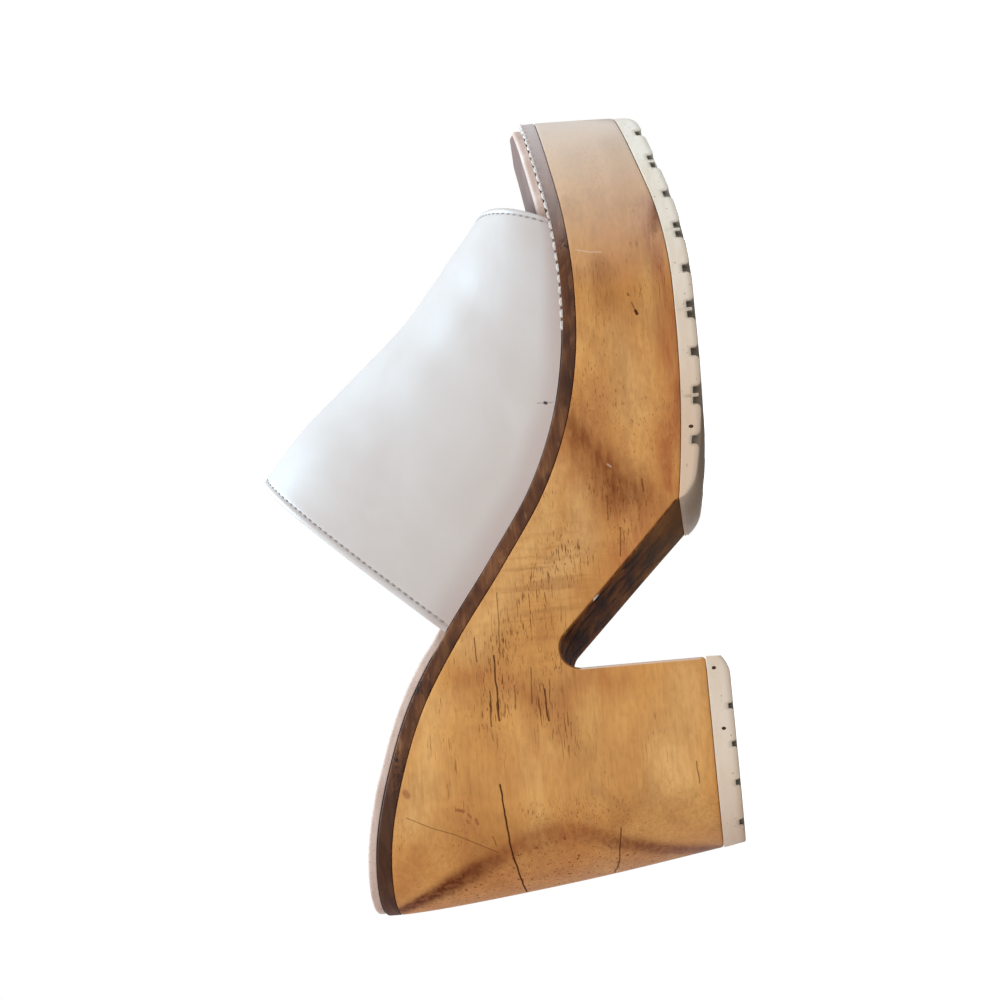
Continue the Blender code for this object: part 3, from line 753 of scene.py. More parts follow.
def wood_material():
    shade = Shade("honey_wood", Coat_Weight=0.05, Coat_Roughness=0.35)
    broad = shade.noise((60, 17, 17), 3.0, 0.6)
    honey = ((0.30, 208, 142, 69), (0.46, 221, 157, 82), (0.60, 229, 167, 91), (0.74, 237, 180, 104))
    shade.colour = shade.ramp(broad, *honey)
    shade.tint((250, 206, 136), shade.mark("light"), 0.55)
    streak = shade.patches(0.34, 0.68, (17, 1.5, 1.5), 4.0, 0.3, 3.1)
    shade.tint((172, 88, 36), shade.times(shade.mark("red"), shade.scaled(streak, 0.40, 0.56)))
    fibre = shade.noise((16, 0.8, 0.8), 3.0, 0.2)
    shade.tint((166, 104, 48), shade.step(fibre, 0.42, 0.74), 0.20)
    mottle = shade.patches(0.40, 0.66, (3.4, 1.3, 1.3), 4.0, 0.4, 9.0)
    shade.tint((170, 106, 50), mottle, 0.17)
    grime = shade.patches(0.46, 0.68, (13, 9, 9), 5.0, 0.6, 12.0)
    shade.tint((164, 106, 56), grime, 0.22)
    curls = shade.patches(0.44, 0.64, (2.0, 16, 16), 2.0, 0.5)
    shade.tint((158, 96, 42), shade.times(curls, shade.mark("curl")), 0.40)
    # paler toe: partly bleached lacquer, partly a painted glare of light on the toe's end
    shade.tint((234, 223, 208), shade.mark("bleach_and_glare"), 0.86)
    shade.colour = shade.mix(shade.mark("dim"), shade.colour, DIM_SHADE, "MULTIPLY")
    stain = shade.times(shade.mark("stain"), shade.scaled(streak, 0.34, 0.80), clamp=True)
    shade.tint((100, 44, 10), stain)

    dense = shade.mark("pores")
    more = shade.times(dense, 0.05)
    cluster = shade.patches(0.40, 0.66, (34, 12, 12), 1.0, 0.0, 8.0)
    cluster = shade.most(shade.times(cluster, 0.6), dense)
    long_pores = shade.noise((8.0, 0.42, 0.42), 1.0, 0.0, 1.7)
    long_pores = shade.step(shade.add(long_pores, more), 0.655, 0.725)
    short_pores = shade.noise((2.2, 0.40, 0.40), 1.0, 0.0, 5.3)
    short_pores = shade.step(shade.add(short_pores, more), 0.66, 0.74)
    pores = shade.times(shade.most(long_pores, shade.times(short_pores, 0.8)), cluster)
    # the painted glare and the bleaching wash out the pores at the toe
    pores = shade.times(pores, shade.scaled(shade.mark("bleach_and_glare"), -0.8, 1.0))
    specks = shade.patches(0.60, 0.70, (2.2, 0.9, 0.9), 2.0, 0.6, 14.0)
    pores = shade.most(pores, shade.times(specks, shade.mark("specks")))
    shade.tint((94, 36, 7), pores, 0.78)

    cracks = shade.lines(CRACKS)
    shade.tint((150, 82, 36), shade.lines(SPOTS))
    shade.tint((64, 23, 4), cracks, 0.95)
    shade.tint((244, 226, 204), shade.lines(SCRATCHES))
    # pale line on the heel breast's lower edge: partly wear, partly a painted highlight
    shade.tint((232, 218, 204), shade.mark("worn"), 0.6)

    hollows = shade.most(pores, cracks)
    rough = shade.add(shade.scaled(fibre, 0.22, 0.36), shade.times(hollows, 0.3))
    shade.link(rough, "Roughness")
    shade.link(shade.scaled(shade.most(stain, hollows), -0.24, 0.30), "Specular IOR Level")
    height = shade.math("SUBTRACT", shade.times(fibre, 0.35), shade.times(pores, 0.2))
    shade.bump(shade.math("SUBTRACT", height, shade.times(cracks, 0.5)), 0.35, 0.25)
    return shade.done()


def shaded_arch_material():
    """Dark unpolished wood under the arch, with sooty smears. Its darkness is partly the wood's own and
    partly painted shade for the underside in shadow.
    """
    shade = Shade("arch_wood_and_shade", Specular_IOR_Level=0.04)
    tone = shade.noise((7, 22, 7), 3.0, 0.5)
    shade.colour = shade.ramp(tone, (0.34, 74, 37, 13), (0.52, 126, 72, 31), (0.70, 162, 102, 50))
    smears = shade.patches(0.50, 0.66, (10, 9, 10), 3.0, 0.8, 6.0)
    shade.tint((28, 14, 5), smears, 0.8)
    ends = [(x - CENTRE[0]) * MM for x in (ARCH_PALE_START, ARCH_FRONT)]
    front = shade.step(shade.node("SeparateXYZ", "X", {0: shade.place}), *ends)
    shade.tint((150, 112, 68), front, 0.5)
    shade.rough(0.7, tone, 0.2)
    shade.bump(shade.noise((1.0, 14, 1.0), 3.0), 0.4, 0.25)
    return shade.done()


def rubber_material():
    shade = Shade("cream_rubber", Specular_IOR_Level=0.35)
    tone = shade.noise((16, 16, 4), 3.0, 0.4)
    shade.colour = shade.ramp(tone, (0.3, 236, 226, 204), (0.5, 244, 237, 220), (0.7, 248, 243, 230))
    shade.tint((228, 194, 160), shade.mark("pink"), 0.75)
    # greyer low on the rubber's sides and over its under face, with random tone
    greyer_low = shade.add(shade.step(shade.mark("level"), 0.42, 0.0), shade.times(tone, 0.5))
    shade.tint((176, 164, 146), shade.step(greyer_low, 0.6, 1.6), 0.40)
    specks = shade.patches(0.71, 0.78, 1.1, 1.0, 0.0, 2.2)
    shade.tint((138, 104, 74), specks, 0.55)
    # painted shade: darker inside the grooves, the deeper the darker
    shade.tint((98, 92, 80), shade.mark("groove"), 0.75)
    shade.rough(0.45, tone, 0.25)
    shade.bump(shade.add(shade.noise(0.5), shade.times(tone, 2.0)), 0.18, 0.2)
    return shade.done()


def band_material():
    shade = Shade("brown_leather", Specular_IOR_Level=0.3)
    layers = shade.noise((30, 30, 0.7))
    tone = shade.noise((9, 9, 3), 3.0, 0.5)
    shade.colour = shade.ramp(tone, (0.32, 76, 41, 20), (0.5, 107, 64, 34), (0.7, 140, 92, 54))
    shade.tint((64, 35, 22), shade.step(layers, 0.5, 0.7), 0.35)
    worn = shade.patches(0.58, 0.72, (5, 5, 1.2), 3.0, 0.0, 4.0)
    shade.tint((160, 120, 86), worn, 0.4)
    shade.tint((58, 28, 11), shade.mark("dark"))
    # paler grey towards the toe: partly bleached leather, partly painted glare
    shade.tint((208, 196, 190), shade.mark("bleach_and_glare"), 0.95)
    flecks = shade.patches(0.50, 0.60, (1.5, 1.5, 1.0), 2.0, 0.8, 7.0)
    chips = shade.times(shade.mark("scuff"), flecks)
    shade.tint((30, 17, 11), chips, 0.9)
    shade.rough(0.42, layers, 0.3)
    shade.bump(shade.math("SUBTRACT", shade.add(layers, tone), shade.times(chips, 1.6)), 0.35, 0.3)
    return shade.done()


def insole_material():
    """Pale pinkish leather, darker on top: partly worn where the foot treads, partly painted shade on the
    top face.
    """
    shade = Shade("insole_leather", Specular_IOR_Level=0.35)
    tone = shade.noise((18, 12, 6), 4.0, 0.6)
    pale = shade.ramp(tone, (0.3, 200, 172, 156), (0.62, 226, 203, 189))
    shade.colour = shade.ramp(tone, (0.3, 118, 91, 80), (0.5, 124, 97, 86), (0.7, 133, 106, 95))
    shade.tint((96, 73, 61), shade.mark("pressed"), 0.5)
    # the top face is darker: partly worn by the foot, partly painted shade
    shade.colour = shade.mix(shade.mark("trodden_and_shaded"), pale, shade.colour)
    pores = shade.noise(0.9, 3.0)
    shade.tint((140, 114, 100), shade.step(pores, 0.52, 0.75), 0.25)
    shade.rough(0.42, pores, 0.3)
    shade.bump(pores, 0.2, 0.15)
    return shade.done()


def lining_material():
    shade = Shade("lining_leather", Specular_IOR_Level=0.3)
    tone = shade.noise((20, 16, 16), 4.0, 0.6)
    shade.colour = shade.ramp(tone, (0.3, 202, 182, 168), (0.62, 226, 212, 200))
    nap = shade.noise(0.7, 3.0)
    shade.tint((182, 160, 146), shade.step(nap, 0.5, 0.75), 0.3)
    shade.rough(0.6, nap, 0.25)
    shade.bump(nap, 0.25, 0.15)
    return shade.done()


def white_leather_material():
    shade = Shade("white_leather", Coat_Weight=0.12, Coat_Roughness=0.3, Specular_IOR_Level=0.5)
    tone = shade.noise((34, 26, 26), 3.0, 0.5)
    shade.colour = shade.ramp(tone, (0.30, 206, 197, 189), (0.50, 211, 203, 196), (0.70, 215, 209, 203))
    dirt = shade.times(shade.math("SUBTRACT", tone, 0.5), 0.8)
    dirt = shade.add(shade.mark("soil"), dirt)
    shade.tint((186, 160, 150), shade.step(dirt, 0.2, 1.0), 0.55)
    shade.tint((120, 112, 108), shade.mark("holes"), 0.25)
    shade.tint((28, 22, 22), shade.lines(FLECKS))
    cells = {"Vector": shade.place, "Scale": 1 / (GRAIN * MM)}
    grain = shade.node("TexVoronoi", 0, cells, feature="SMOOTH_F1")
    wrinkle = shade.noise((3.2, 2.2, 2.2), 4.0, 0.4)
    shade.rough(0.30, wrinkle, 0.16)
    shade.bump(shade.add(grain, shade.times(wrinkle, 1.6)), 0.12, 0.12)
    return shade.done()


def thread_material(name, light, dark):
    shade = Shade(name, Roughness=0.75, Sheen_Weight=0.25)
    twist = shade.noise(0.35)
    shade.colour = shade.ramp(twist, (0.35, *dark), (0.6, *light))
    shade.bump(twist, 0.4, 0.12)
    return shade.done()


def nail_material():
    shade = Shade("rusty_nail", Metallic=0.4)
    rust = shade.noise(0.6, 3.0)
    shade.colour = shade.ramp(rust, (0.35, 38, 26, 20), (0.65, 84, 50, 32))
    shade.rough(0.5, rust, 0.3)
    shade.bump(rust, 0.4, 0.2)
    return shade.done()


# Marks that are painted on the points of a mesh

def distance_to(points, line):
    """Distance of each point to a line through other points, in any number of dimensions."""
    best = np.full(points.shape[:-1], np.inf)
    for a, b in zip(line, line[1:]):
        along = b - a
        share = limited((points - a) @ along / (along @ along))
        best = np.minimum(best, np.linalg.norm(points - a - share[..., None] * along, axis=-1))
    return best


def wood_figure(grid):
    """Strength of each kind of figure on each point of the wood."""
    x, y, z = np.moveaxis(grid, -1, 0)
    wobble = np.stack([np.sin(x / along + z / up) for along, up in STREAK_WAVES], axis=-1)
    view = np.stack([x, z], axis=-1) + STREAK_WOBBLE * wobble
    figure = {kind: np.zeros(x.shape) for kind in STREAKS}
    for side, streaks in ((-1, STREAKS), (1, OUTER_STREAKS)):
        on_side = limited(y * side / SIDE_FADE)
        for kind, rows in streaks.items():
            for half, most, line in rows:
                mark = most * bell(distance_to(view, np.array(line, float)), half)
                figure[kind] = np.maximum(figure[kind], mark * on_side)
    station = x - RING_TILT * np.maximum(y, 0)
    half = straight(HEEL_RING, 2, z)
    behind = smooth(HEEL_RING, 1, np.clip(z, HEEL_RING[0, 0], HEEL_RING[-1, 0])) - station
    dark = straight(HEEL_RING, 3, z)
    ring = np.where(behind > 0, (behind / (half * RING_BACK)) ** 4, (behind / (half * RING_FRONT)) ** 2)
    figure["stain"] = np.maximum(figure["stain"], dark * np.exp(-ring))
    figure["specks"] = limited(behind / BEHIND_STEP)
    figure["red"] = np.maximum(figure["red"], BEHIND_RED * figure["specks"])
    figure["red"] = np.maximum(figure["red"], RING_RED * np.exp(-ring))
    figure["curl"] = np.exp(-(((x - CURL_MIDDLE) / CURL_REACH) ** 2) - ((z - CURL_HEIGHT) / CURL_RISE) ** 2)
    # paler towards the toe: partly bleached, partly painted glare
    figure["bleach_and_glare"] = limited((x - BLEACH_GLARE_START) / (BLEACH_GLARE_END - BLEACH_GLARE_START)) ** BLEACH_GLARE_POWER
    return figure


# Pieces of the sole

def wood_uneven(x, z):
    return WOOD_UNEVEN * waves(UNEVEN_WAVES, x, z)


def band_uneven(x, z):
    return BAND_UNEVEN * waves(UNEVEN_WAVES, x, z)


def wood_profiles():
    """Underside with its arch notch, and the points of the footbed above it."""
    heel_z = HEEL_OUTSOLE + GAP
    slope_sum = ARCH_FRONT + float(outsole_top(ARCH_FRONT)) + GAP - SEAM_FILL
    fillet_x = HEEL_BREAST + ARCH_FILLET
    fillet_z = slope_sum - fillet_x - ARCH_FILLET * math.sqrt(2)
    heel_x = stations(0.0, HEEL_BREAST - BREAST_CORNER, WOOD_STEP)[:-1]
    heel = np.column_stack([heel_x, np.full(len(heel_x), heel_z)])
    corner = arc((HEEL_BREAST - BREAST_CORNER, heel_z + BREAST_CORNER), BREAST_CORNER, -90, 0, CORNER_POINTS)
    breast_z = np.arange(heel_z + BREAST_CORNER + WOOD_STEP, fillet_z - WOOD_STEP / 2, WOOD_STEP)
    breast = np.column_stack([np.full(len(breast_z), HEEL_BREAST), breast_z])
    fillet = arc((fillet_x, fillet_z), ARCH_FILLET, 180, 45, FILLET_POINTS)
    slope_x = np.arange(fillet[-1, 0] + WOOD_STEP, ARCH_FRONT - WOOD_STEP / 2, WOOD_STEP * SLOPE_SHARE)
    slope = np.column_stack([slope_x, slope_sum - slope_x])
    front_x = stations(ARCH_FRONT, LENGTH, WOOD_STEP)
    front = np.column_stack([front_x, outsole_top(front_x) + GAP - SEAM_FILL])
    runs = [heel, corner, breast, fillet, slope, front]
    under = np.concatenate(runs)
    ends = np.cumsum([len(run) for run in runs]) - 1
    run = path_length(under)
    knots = {ends[1]: "breast foot", ends[2]: "breast head", ends[3]: "fillet end", ends[4]: "arch front"}
    tops = {int(k): TOP_OF_COLUMN[name] for k, name in knots.items()}
    for k in np.flatnonzero((under[:, 0] <= COLUMNS_UPRIGHT[0]) | (under[:, 0] >= COLUMNS_UPRIGHT[1])):
        tops[int(k)] = under[k, 0]
    order = sorted(tops)
    top_x = np.interp(run, run[order], [tops[k] for k in order])
    in_arch = np.zeros(len(under))
    in_arch[ends[1]:ends[4] + 1] = 1.0
    return under, np.column_stack([top_x, footbed(top_x)]), in_arch


def make_wood():
    under, top, in_arch = wood_profiles()
    grid, level = sole_grid(
        under, top, WOOD_EDGE, WOOD_TOP_EDGE, WOOD_ROWS, WOOD_ACROSS, uneven=wood_uneven
    )
    figure = wood_figure(grid)
    on_breast = np.abs(under[:, 0] - HEEL_BREAST) < BREAST_NEAR
    # pale line on the heel breast's lower edge: partly wear, partly a painted highlight
    figure["worn"] = on_breast[:, None] * ((level > 0) & (level <= RIM_LEVEL))
    on_slope = (in_arch > 0) & ~on_breast
    # painted shade: the rounded lower edge of the arch slope gets the dark stain colour
    arch_edge_shade = ARCH_EDGE_SHADE * (on_slope[:, None] & (level < RIM_LEVEL))
    figure["stain"] = np.maximum(figure["stain"], arch_edge_shade)
    under_face = (level[:-1] <= 0) & (np.roll(level[:-1], -1, axis=1) <= 0)
    # the under faces in the arch take the dark arch material, which is partly painted shade
    choice = ((in_arch[:-1, None] > 0) & under_face).ravel().astype(np.int32)
    materials = [wood_material(), shaded_arch_material()]
    obj = sole_object("wooden_platform_worn", grid, materials, figure, choice=choice)
    add_piece(obj, "wood", "wooden_platform")


def notched(plain_x, grooves, base):
    """Side profile of an outsole with grooves, and which of its points lie well clear of them.
    A groove is (middle, width, depth, round of the lug at its left, round of the lug at its right)."""
    carved = []
    for middle, width, depth, round_left, round_right in grooves:
        left, right, bottom = middle - width / 2, middle + width / 2, depth - GROOVE_ROUND
        carved.append(np.concatenate([
            arc((left - round_left, round_left), round_left, -90, 0, LUG_POINTS),
            arc((left + GROOVE_ROUND, bottom), GROOVE_ROUND, 180, 90, GROOVE_POINTS),
            arc((right - GROOVE_ROUND, bottom), GROOVE_ROUND, 90, 0, GROOVE_POINTS),
            arc((right + round_right, round_right), round_right, 180, 270, LUG_POINTS),
        ]))
        reach = width / 2 + max(round_left, round_right) + GROOVE_CLEAR
        plain_x = plain_x[np.abs(plain_x - middle) > reach]
    plain = np.column_stack([plain_x, np.zeros(len(plain_x))])
    runs = [plain[plain_x < carved[0][0, 0]]]
    ends = [groove[0, 0] for groove in carved[1:]] + [np.inf]
    for groove, end in zip(carved, ends):
        runs += [groove, plain[(plain_x > groove[-1, 0]) & (plain_x < end)]]
    profile = np.concatenate(runs)
    middles = [groove[0] for groove in grooves]
    for near, far in zip(middles, middles[1:]):
        if far - near <= GROOVE_PAIR:
            rib = (profile[:, 0] > near) & (profile[:, 0] < far)
            profile[rib, 1] = np.maximum(profile[rib, 1], RIB_SINK)
    far = np.min([np.abs(profile[:, 0] - groove[0]) - groove[1] / 2 for groove in grooves], axis=0)
    under = np.column_stack([profile[:, 0], profile[:, 1] + base(profile[:, 0])])
    return under, far > GROOVE_REACH


def forefoot_grooves():
    rows = []
    for k in range(GROOVE_COUNT):
        middle = GROOVE_FIRST + k * GROOVE_PITCH
        if k % 2:
            half = GROOVE_PAIR / 2
            rows.append((middle - half, PAIR_WIDTH, GROOVE_DEPTH, LUG_ROUND, RIB_ROUND))
            rows.append((middle + half, PAIR_WIDTH, GROOVE_DEPTH, RIB_ROUND, LUG_ROUND))
        else:
            rows.append((middle, GROOVE_WIDTH, GROOVE_DEPTH, LUG_ROUND, LUG_ROUND))
    return rows


def heel_grooves():
    """Grooves at the stations that the heel's lean moves to the true ones."""
    share = 1 - HEEL_LEAN / HEEL_BREAST
    places = HEEL_GROOVE_FIRST + HEEL_GROOVE_PITCH * np.arange(HEEL_GROOVE_COUNT)
    form = (HEEL_GROOVE_WIDTH / share, HEEL_GROOVE_DEPTH, HEEL_LUG_ROUND, HEEL_LUG_ROUND)
    return [((x - HEEL_LEAN) / share, *form) for x in places]


def make_outsole(name, node, start, end, grooves, base, top_curve, caps, material):
    under, clear = notched(stations(start, end, OUTSOLE_STEP), grooves, base)
    clear[[0, -1]] = True
    run = path_length(under)
    top_x = np.interp(run, run[clear], under[clear, 0])
    top = np.column_stack([top_x, top_curve(top_x)])
    plain = base(under[:, 0])
    grid, level = sole_grid(
        under, top, OUTSOLE_EDGE, OUTSOLE_TOP_EDGE, OUTSOLE_ROWS, OUTSOLE_ACROSS, plain=plain
    )
    station, depth = grid[..., 0], grid[..., 2] - plain[:, None]
    most_pink = np.where(station < HEEL_BREAST, PINK_HEEL, 1.0)
    attributes = {
        "level": level,
        # painted shade inside the grooves, darker with depth
        "groove": limited(depth / HEEL_GROOVE_DEPTH) * (level <= 0),
        "pink": limited((PINK_START - station) / PINK_REACH) * most_pink,
    }
    obj = sole_object(name, grid, [material], attributes, caps)
    add_piece(obj, "outsole_rubber", node)


def make_outsoles():
    rubber = rubber_material()
    make_outsole("outsole_forefoot_worn", "outsole_forefoot", ARCH_FRONT, LENGTH, forefoot_grooves(),
                 outsole_under, outsole_top, (True, False), rubber)
    make_outsole("outsole_heel_worn", "outsole_heel", 0.0, HEEL_BREAST, heel_grooves(),
                 heel_under, heel_top, (False, True), rubber)


def layer_profiles(low, high):
    """Under and top profile of a layer between two heights above the wood."""
    x = stations(0.0, LENGTH, LAYER_STEP)
    return [np.column_stack([x, above_footbed(x, height)]) for height in (low, high)]


def make_midsole():
    under, top = layer_profiles(GAP - SEAM_FILL, GAP + MIDSOLE)
    grid, _ = sole_grid(
        under, top, MIDSOLE_EDGE, MIDSOLE_EDGE, LAYER_ROWS, MIDSOLE_ACROSS, uneven=band_uneven
    )
    station, across, height = np.moveaxis(grid, -1, 0)
    near = np.min([np.hypot(station - x, height - z) for x, z in SCUFFS], axis=0)
    # the band's paler toe, partly bleached and partly painted glare
    bleach_and_glare = (station - BAND_BLEACH_GLARE_START) / (BAND_BLEACH_GLARE_END - BAND_BLEACH_GLARE_START)
    attributes = {
        "bleach_and_glare": limited(bleach_and_glare),
        "dark": straight(BAND_DARK, 1, station),
        "scuff": bell(near, SCUFF_REACH) * (across < 0),
    }
    obj = sole_object("midsole_band", grid, [band_material()], attributes)
    add_piece(obj, "brown_leather", "midsole")


def insole_setback(x, side):
    """The insole steps in where the upper's wall stands beside it."""
    joint = UPPER[:, COLUMN[side]]
    inside = np.minimum(x - joint[0], joint[-1] - x) / SETBACK_RAMP + SETBACK_LEAD
    beside_upper = (INSOLE_SETBACK_IN_UPPER - INSOLE_SETBACK) * limited(inside)
    at_toe = limited((x - TOE_SETBACK_START) / (LENGTH - TOE_SETBACK_START))
    return INSOLE_SETBACK + beside_upper + TOE_SETBACK * at_toe**2


def pressed(x, y):
    """Darker prints that the heel, the ball of the foot and the toes have left on the insole."""
    marks = [np.exp(-(((x - a) / long) ** 2) - ((y - b) / wide) ** 2) for a, b, long, wide in FOOTPRINT]
    return np.max(marks, axis=0)


def make_insole():
    base = 2 * GAP + MIDSOLE
    under, top = layer_profiles(base, base + INSOLE)
    crown = straight(CROWN, 1, under[:, 0])
    edges = (INSOLE_UNDER_EDGE, INSOLE_EDGE)
    grid, level = sole_grid(
        under, top, *edges, LAYER_ROWS, INSOLE_ACROSS, setback=insole_setback, crown=crown
    )
    # the top face is marked for its darker colour, partly wear and partly painted shade
    attributes = {"trodden_and_shaded": 1.0 * (level >= 1), "pressed": pressed(grid[..., 0], grid[..., 1])}
    obj = sole_object("insole_leather", grid, [insole_material()], attributes)
    add_piece(obj, "insole_leather", "insole")


# Upper

def upper_surface(ways, turns):
    """Outer face of the band: ways run from collar to front edge, turns from inner to outer joint."""
    inner_x, outer_x, crown_x, crown_z = (smooth(UPPER, column, ways) for column in (1, 2, 3, 4))
    joints = []
    for side, x in ((-1, inner_x), (1, outer_x)):
        y = side * (half_width(x, COLUMN[side]) - UPPER_SETBACK)
        joints.append(np.column_stack([x, y, above_footbed(x, MIDSOLE + GAP + UPPER_LIFT)]))
    inner, outer = joints
    crown = np.column_stack([crown_x, np.full(len(ways), CROWN_OFFSET), crown_z])
    up = crown - (inner + outer) / 2
    power = 2 / ARCH_POWER
    side = np.sign(np.cos(turns)) * np.abs(np.cos(turns)) ** power
    reach, lift = ((1 - side) / 2)[None, :, None], (np.sin(turns) ** power)[None, :, None]
    return inner[:, None] + (outer - inner)[:, None] * reach + up[:, None] * lift


def edge_offsets():
    """Distances from an edge at which the band has points: close together over the fold and the stitches."""
    close = np.arange(WALL / 2, STITCH_INSET + CLOSE_ZONE, CLOSE_STEP)
    return np.concatenate([close, np.linspace(close[-1], EDGE_ZONE, EDGE_ZONE_POINTS)[1:]])


def upper_grid():
    """Points of the outer face, and how far each is from the collar edge and from the front edge."""
    turns = np.linspace(0, math.pi, UPPER_ACROSS + 1)
    dense = upper_surface(np.linspace(0, 1, UPPER_SAMPLES), turns)
    close = edge_offsets()
    middle = np.linspace(0, 1, UPPER_ALONG)[1:-1]
    columns, from_collar, from_front = [], [], []
    for line in np.swapaxes(dense, 0, 1):
        run = path_length(line)
        between = EDGE_ZONE + middle * (run[-1] - 2 * EDGE_ZONE)
        offset = np.concatenate([close, between, run[-1] - close[::-1]])
        columns.append(read_along(line, run, offset))
        from_collar.append(offset)
        from_front.append(run[-1] - offset)
    return [np.stack(parts, axis=1) for parts in (columns, from_collar, from_front)]


def outward(grid):
    return unit(np.cross(np.gradient(grid, axis=0), np.gradient(grid, axis=1)))


def crease_relief(grid):
    """Soft troughs with a low ridge on either side, laid along short lines on the band."""
    relief = np.zeros(grid.shape[:2])
    for start, end, depth, half in CREASES:
        ways, turns = np.linspace(start, end, CREASE_POINTS).T
        line = [upper_surface(np.array([w]), np.array([t]))[0, 0] for w, t in zip(ways, math.pi * turns)]
        far = distance_to(grid, line) / half
        relief += depth * (RIDGE * bell(far - RIDGE_PLACE) - bell(far))
    return relief


def upper_relief(grid, edge):
    slack = waves(SLACK_WAVES, *np.moveaxis(grid, -1, 0))
    inside = limited((edge - STITCH_INSET) / SLACK_FADE)
    trough = STITCH_TROUGH * bell(edge - STITCH_INSET, STITCH_TROUGH_WIDTH)
    bulge = FOLD_BULGE * bell(edge - FOLD_BULGE_PLACE, FOLD_BULGE_WIDTH)
    return inside * (crease_relief(grid) + slack) - trough + bulge


def folded(row, normal, beyond, thickness):
    """Round edge that runs from the outer face to the inner face around a row of points."""
    middle = row - normal * thickness / 2
    turns = np.linspace(0, math.pi, FOLD_STEPS + 2)[1:-1]
    return [middle + thickness / 2 * (math.cos(t) * normal + math.sin(t) * beyond) for t in turns]


def band_object(name, outer, inner, front, collar, material, attributes):
    """Closed band from its outer and inner faces and the rows of points round its two edges."""
    loop = np.concatenate([outer, np.stack(front), inner[::-1], np.stack(collar)[::-1]], axis=0)
    sections = np.swapaxes(loop, 0, 1)
    count, rows = sections.shape[1], len(outer)
    faces = ring_faces(sections.shape[0], count)
    turn = len(front)
    for start in (0, (sections.shape[0] - 1) * count):
        for m in range(rows - 1):
            back = 2 * rows + turn - 1 - m
            faces.append([start + m, start + m + 1, start + back - 1, start + back])
        faces.append([start + k for k in range(rows - 1, rows + turn + 1)])
        faces.append([start + k % count for k in range(2 * rows + turn - 1, count + 1)])
    values = {}
    for key, face in attributes.items():
        at_front, at_collar = ([face[end]] * turn for end in (-1, 0))
        values[key] = np.concatenate([face, at_front, np.zeros(face.shape), at_collar], axis=0).T
    return place(name, sections, faces, [material], values)


def make_upper():
    grid, from_collar, from_front = upper_grid()
    edge = np.minimum(from_collar, from_front)
    outer = grid + outward(grid) * upper_relief(grid, edge)[..., None]
    normal = outward(outer)
    lined = np.where(edge > LINING_EDGE, WALL - LINING, WALL)[..., None]
    front = folded(outer[-1], normal[-1], unit(outer[-1] - outer[-2]), WALL)
    collar = folded(outer[0], normal[0], unit(outer[0] - outer[1]), WALL)

    across = np.linspace(0, 1, grid.shape[1])[None, :]
    from_joint = np.minimum(across, 1 - across)
    soil = limited(1 - from_joint / JOINT_SOIL) + EDGE_SOIL * limited(1 - edge / EDGE_SOIL_REACH)
    attributes = {"soil": soil, "holes": bell(edge - STITCH_INSET, STITCH_HOLE)}
    leather = white_leather_material()
    obj = band_object("upper_band", outer, outer - normal * lined, front, collar, leather, attributes)
    add_piece(obj, "white_leather", "upper")

    kept = edge[:, 0] > LINING_EDGE
    face, back = (outer[kept] - normal[kept] * depth for depth in (WALL - LINING + LINING_GAP, WALL))
    front, collar = ([(face[end] + back[end]) / 2] for end in (-1, 0))
    obj = band_object("upper_lining", face, back, front, collar, lining_material(), {})
    add_piece(obj, "insole_leather")

    thread = thread_material("grey_thread", *GREY_THREAD)
    for name, offset in (("collar_stitches", from_collar), ("front_stitches", from_front)):
        row = np.argmin(np.abs(offset[:, 0] - STITCH_INSET))
        centres, alongs, squares = spaced_along(outer[row], normal[row], STITCH_PITCH, STITCH_MARGIN)
        both = [centres + squares * lift for lift in (STITCH_LIFT, -WALL - STITCH_LIFT)]
        alongs, squares = (np.tile(vectors, (2, 1)) for vectors in (alongs, squares))
        obj = stitches(name, np.concatenate(both), alongs, squares, STITCH_LENGTH, STITCH_RADIUS, thread)
        add_piece(obj, "thread")


# Thread

def spaced_along(line, normal, pitch, margin):
    """Middles of stitches along a row of points, with the row's direction and the face's direction there."""
    run = path_length(line)
    count = int((run[-1] - 2 * margin) / pitch)
    at = margin + (np.arange(count) + 0.5) * (run[-1] - 2 * margin) / count
    along = read_along(line, run, at + THREAD_STEP) - read_along(line, run, at - THREAD_STEP)
    return read_along(line, run, at), unit(along), unit(read_along(normal, run, at))


def stitches(name, centres, alongs, squares, length, radius, material):
    """Short rounded lengths of thread, each a little different, joined in one mesh."""
    turn = np.linspace(0, 2 * math.pi, THREAD_SIDES, endpoint=False)
    at = np.sin(np.linspace(-math.pi / 2, math.pi / 2, THREAD_RINGS + 2))
    points, faces = [], []
    for centre, along, square in zip(centres, alongs, squares):
        aside = np.cross(square, along)
        long, thick = length * RANDOM.uniform(*THREAD_LONG), radius * RANDOM.uniform(*THREAD_THICK)
        slant = RANDOM.uniform(*THREAD_SLANT)
        first = len(points)
        for share in at:
            bulk = (1 - abs(share) ** THREAD_ROUND) ** 0.5 * thick
            middle = centre + (along + aside * slant) * share * long / 2
            middle = middle - square * THREAD_SINK * thick * share**2
            if bulk < POINT_WIDTH:
                points.append(middle)
            else:
                points += [middle + bulk * (math.cos(t) * aside + math.sin(t) * square) for t in turn]
        last = len(points) - 1
        for k in range(THREAD_SIDES):
            beside = (k + 1) % THREAD_SIDES
            faces.append([first, first + 1 + beside, first + 1 + k])
            for low in range(first + 1, last - THREAD_SIDES, THREAD_SIDES):
                high = low + THREAD_SIDES
                faces.append([low + k, low + beside, high + beside, high + k])
            top = last - THREAD_SIDES
            faces.append([last, top + k, top + beside])
    return place(name, np.array(points), faces, [material])


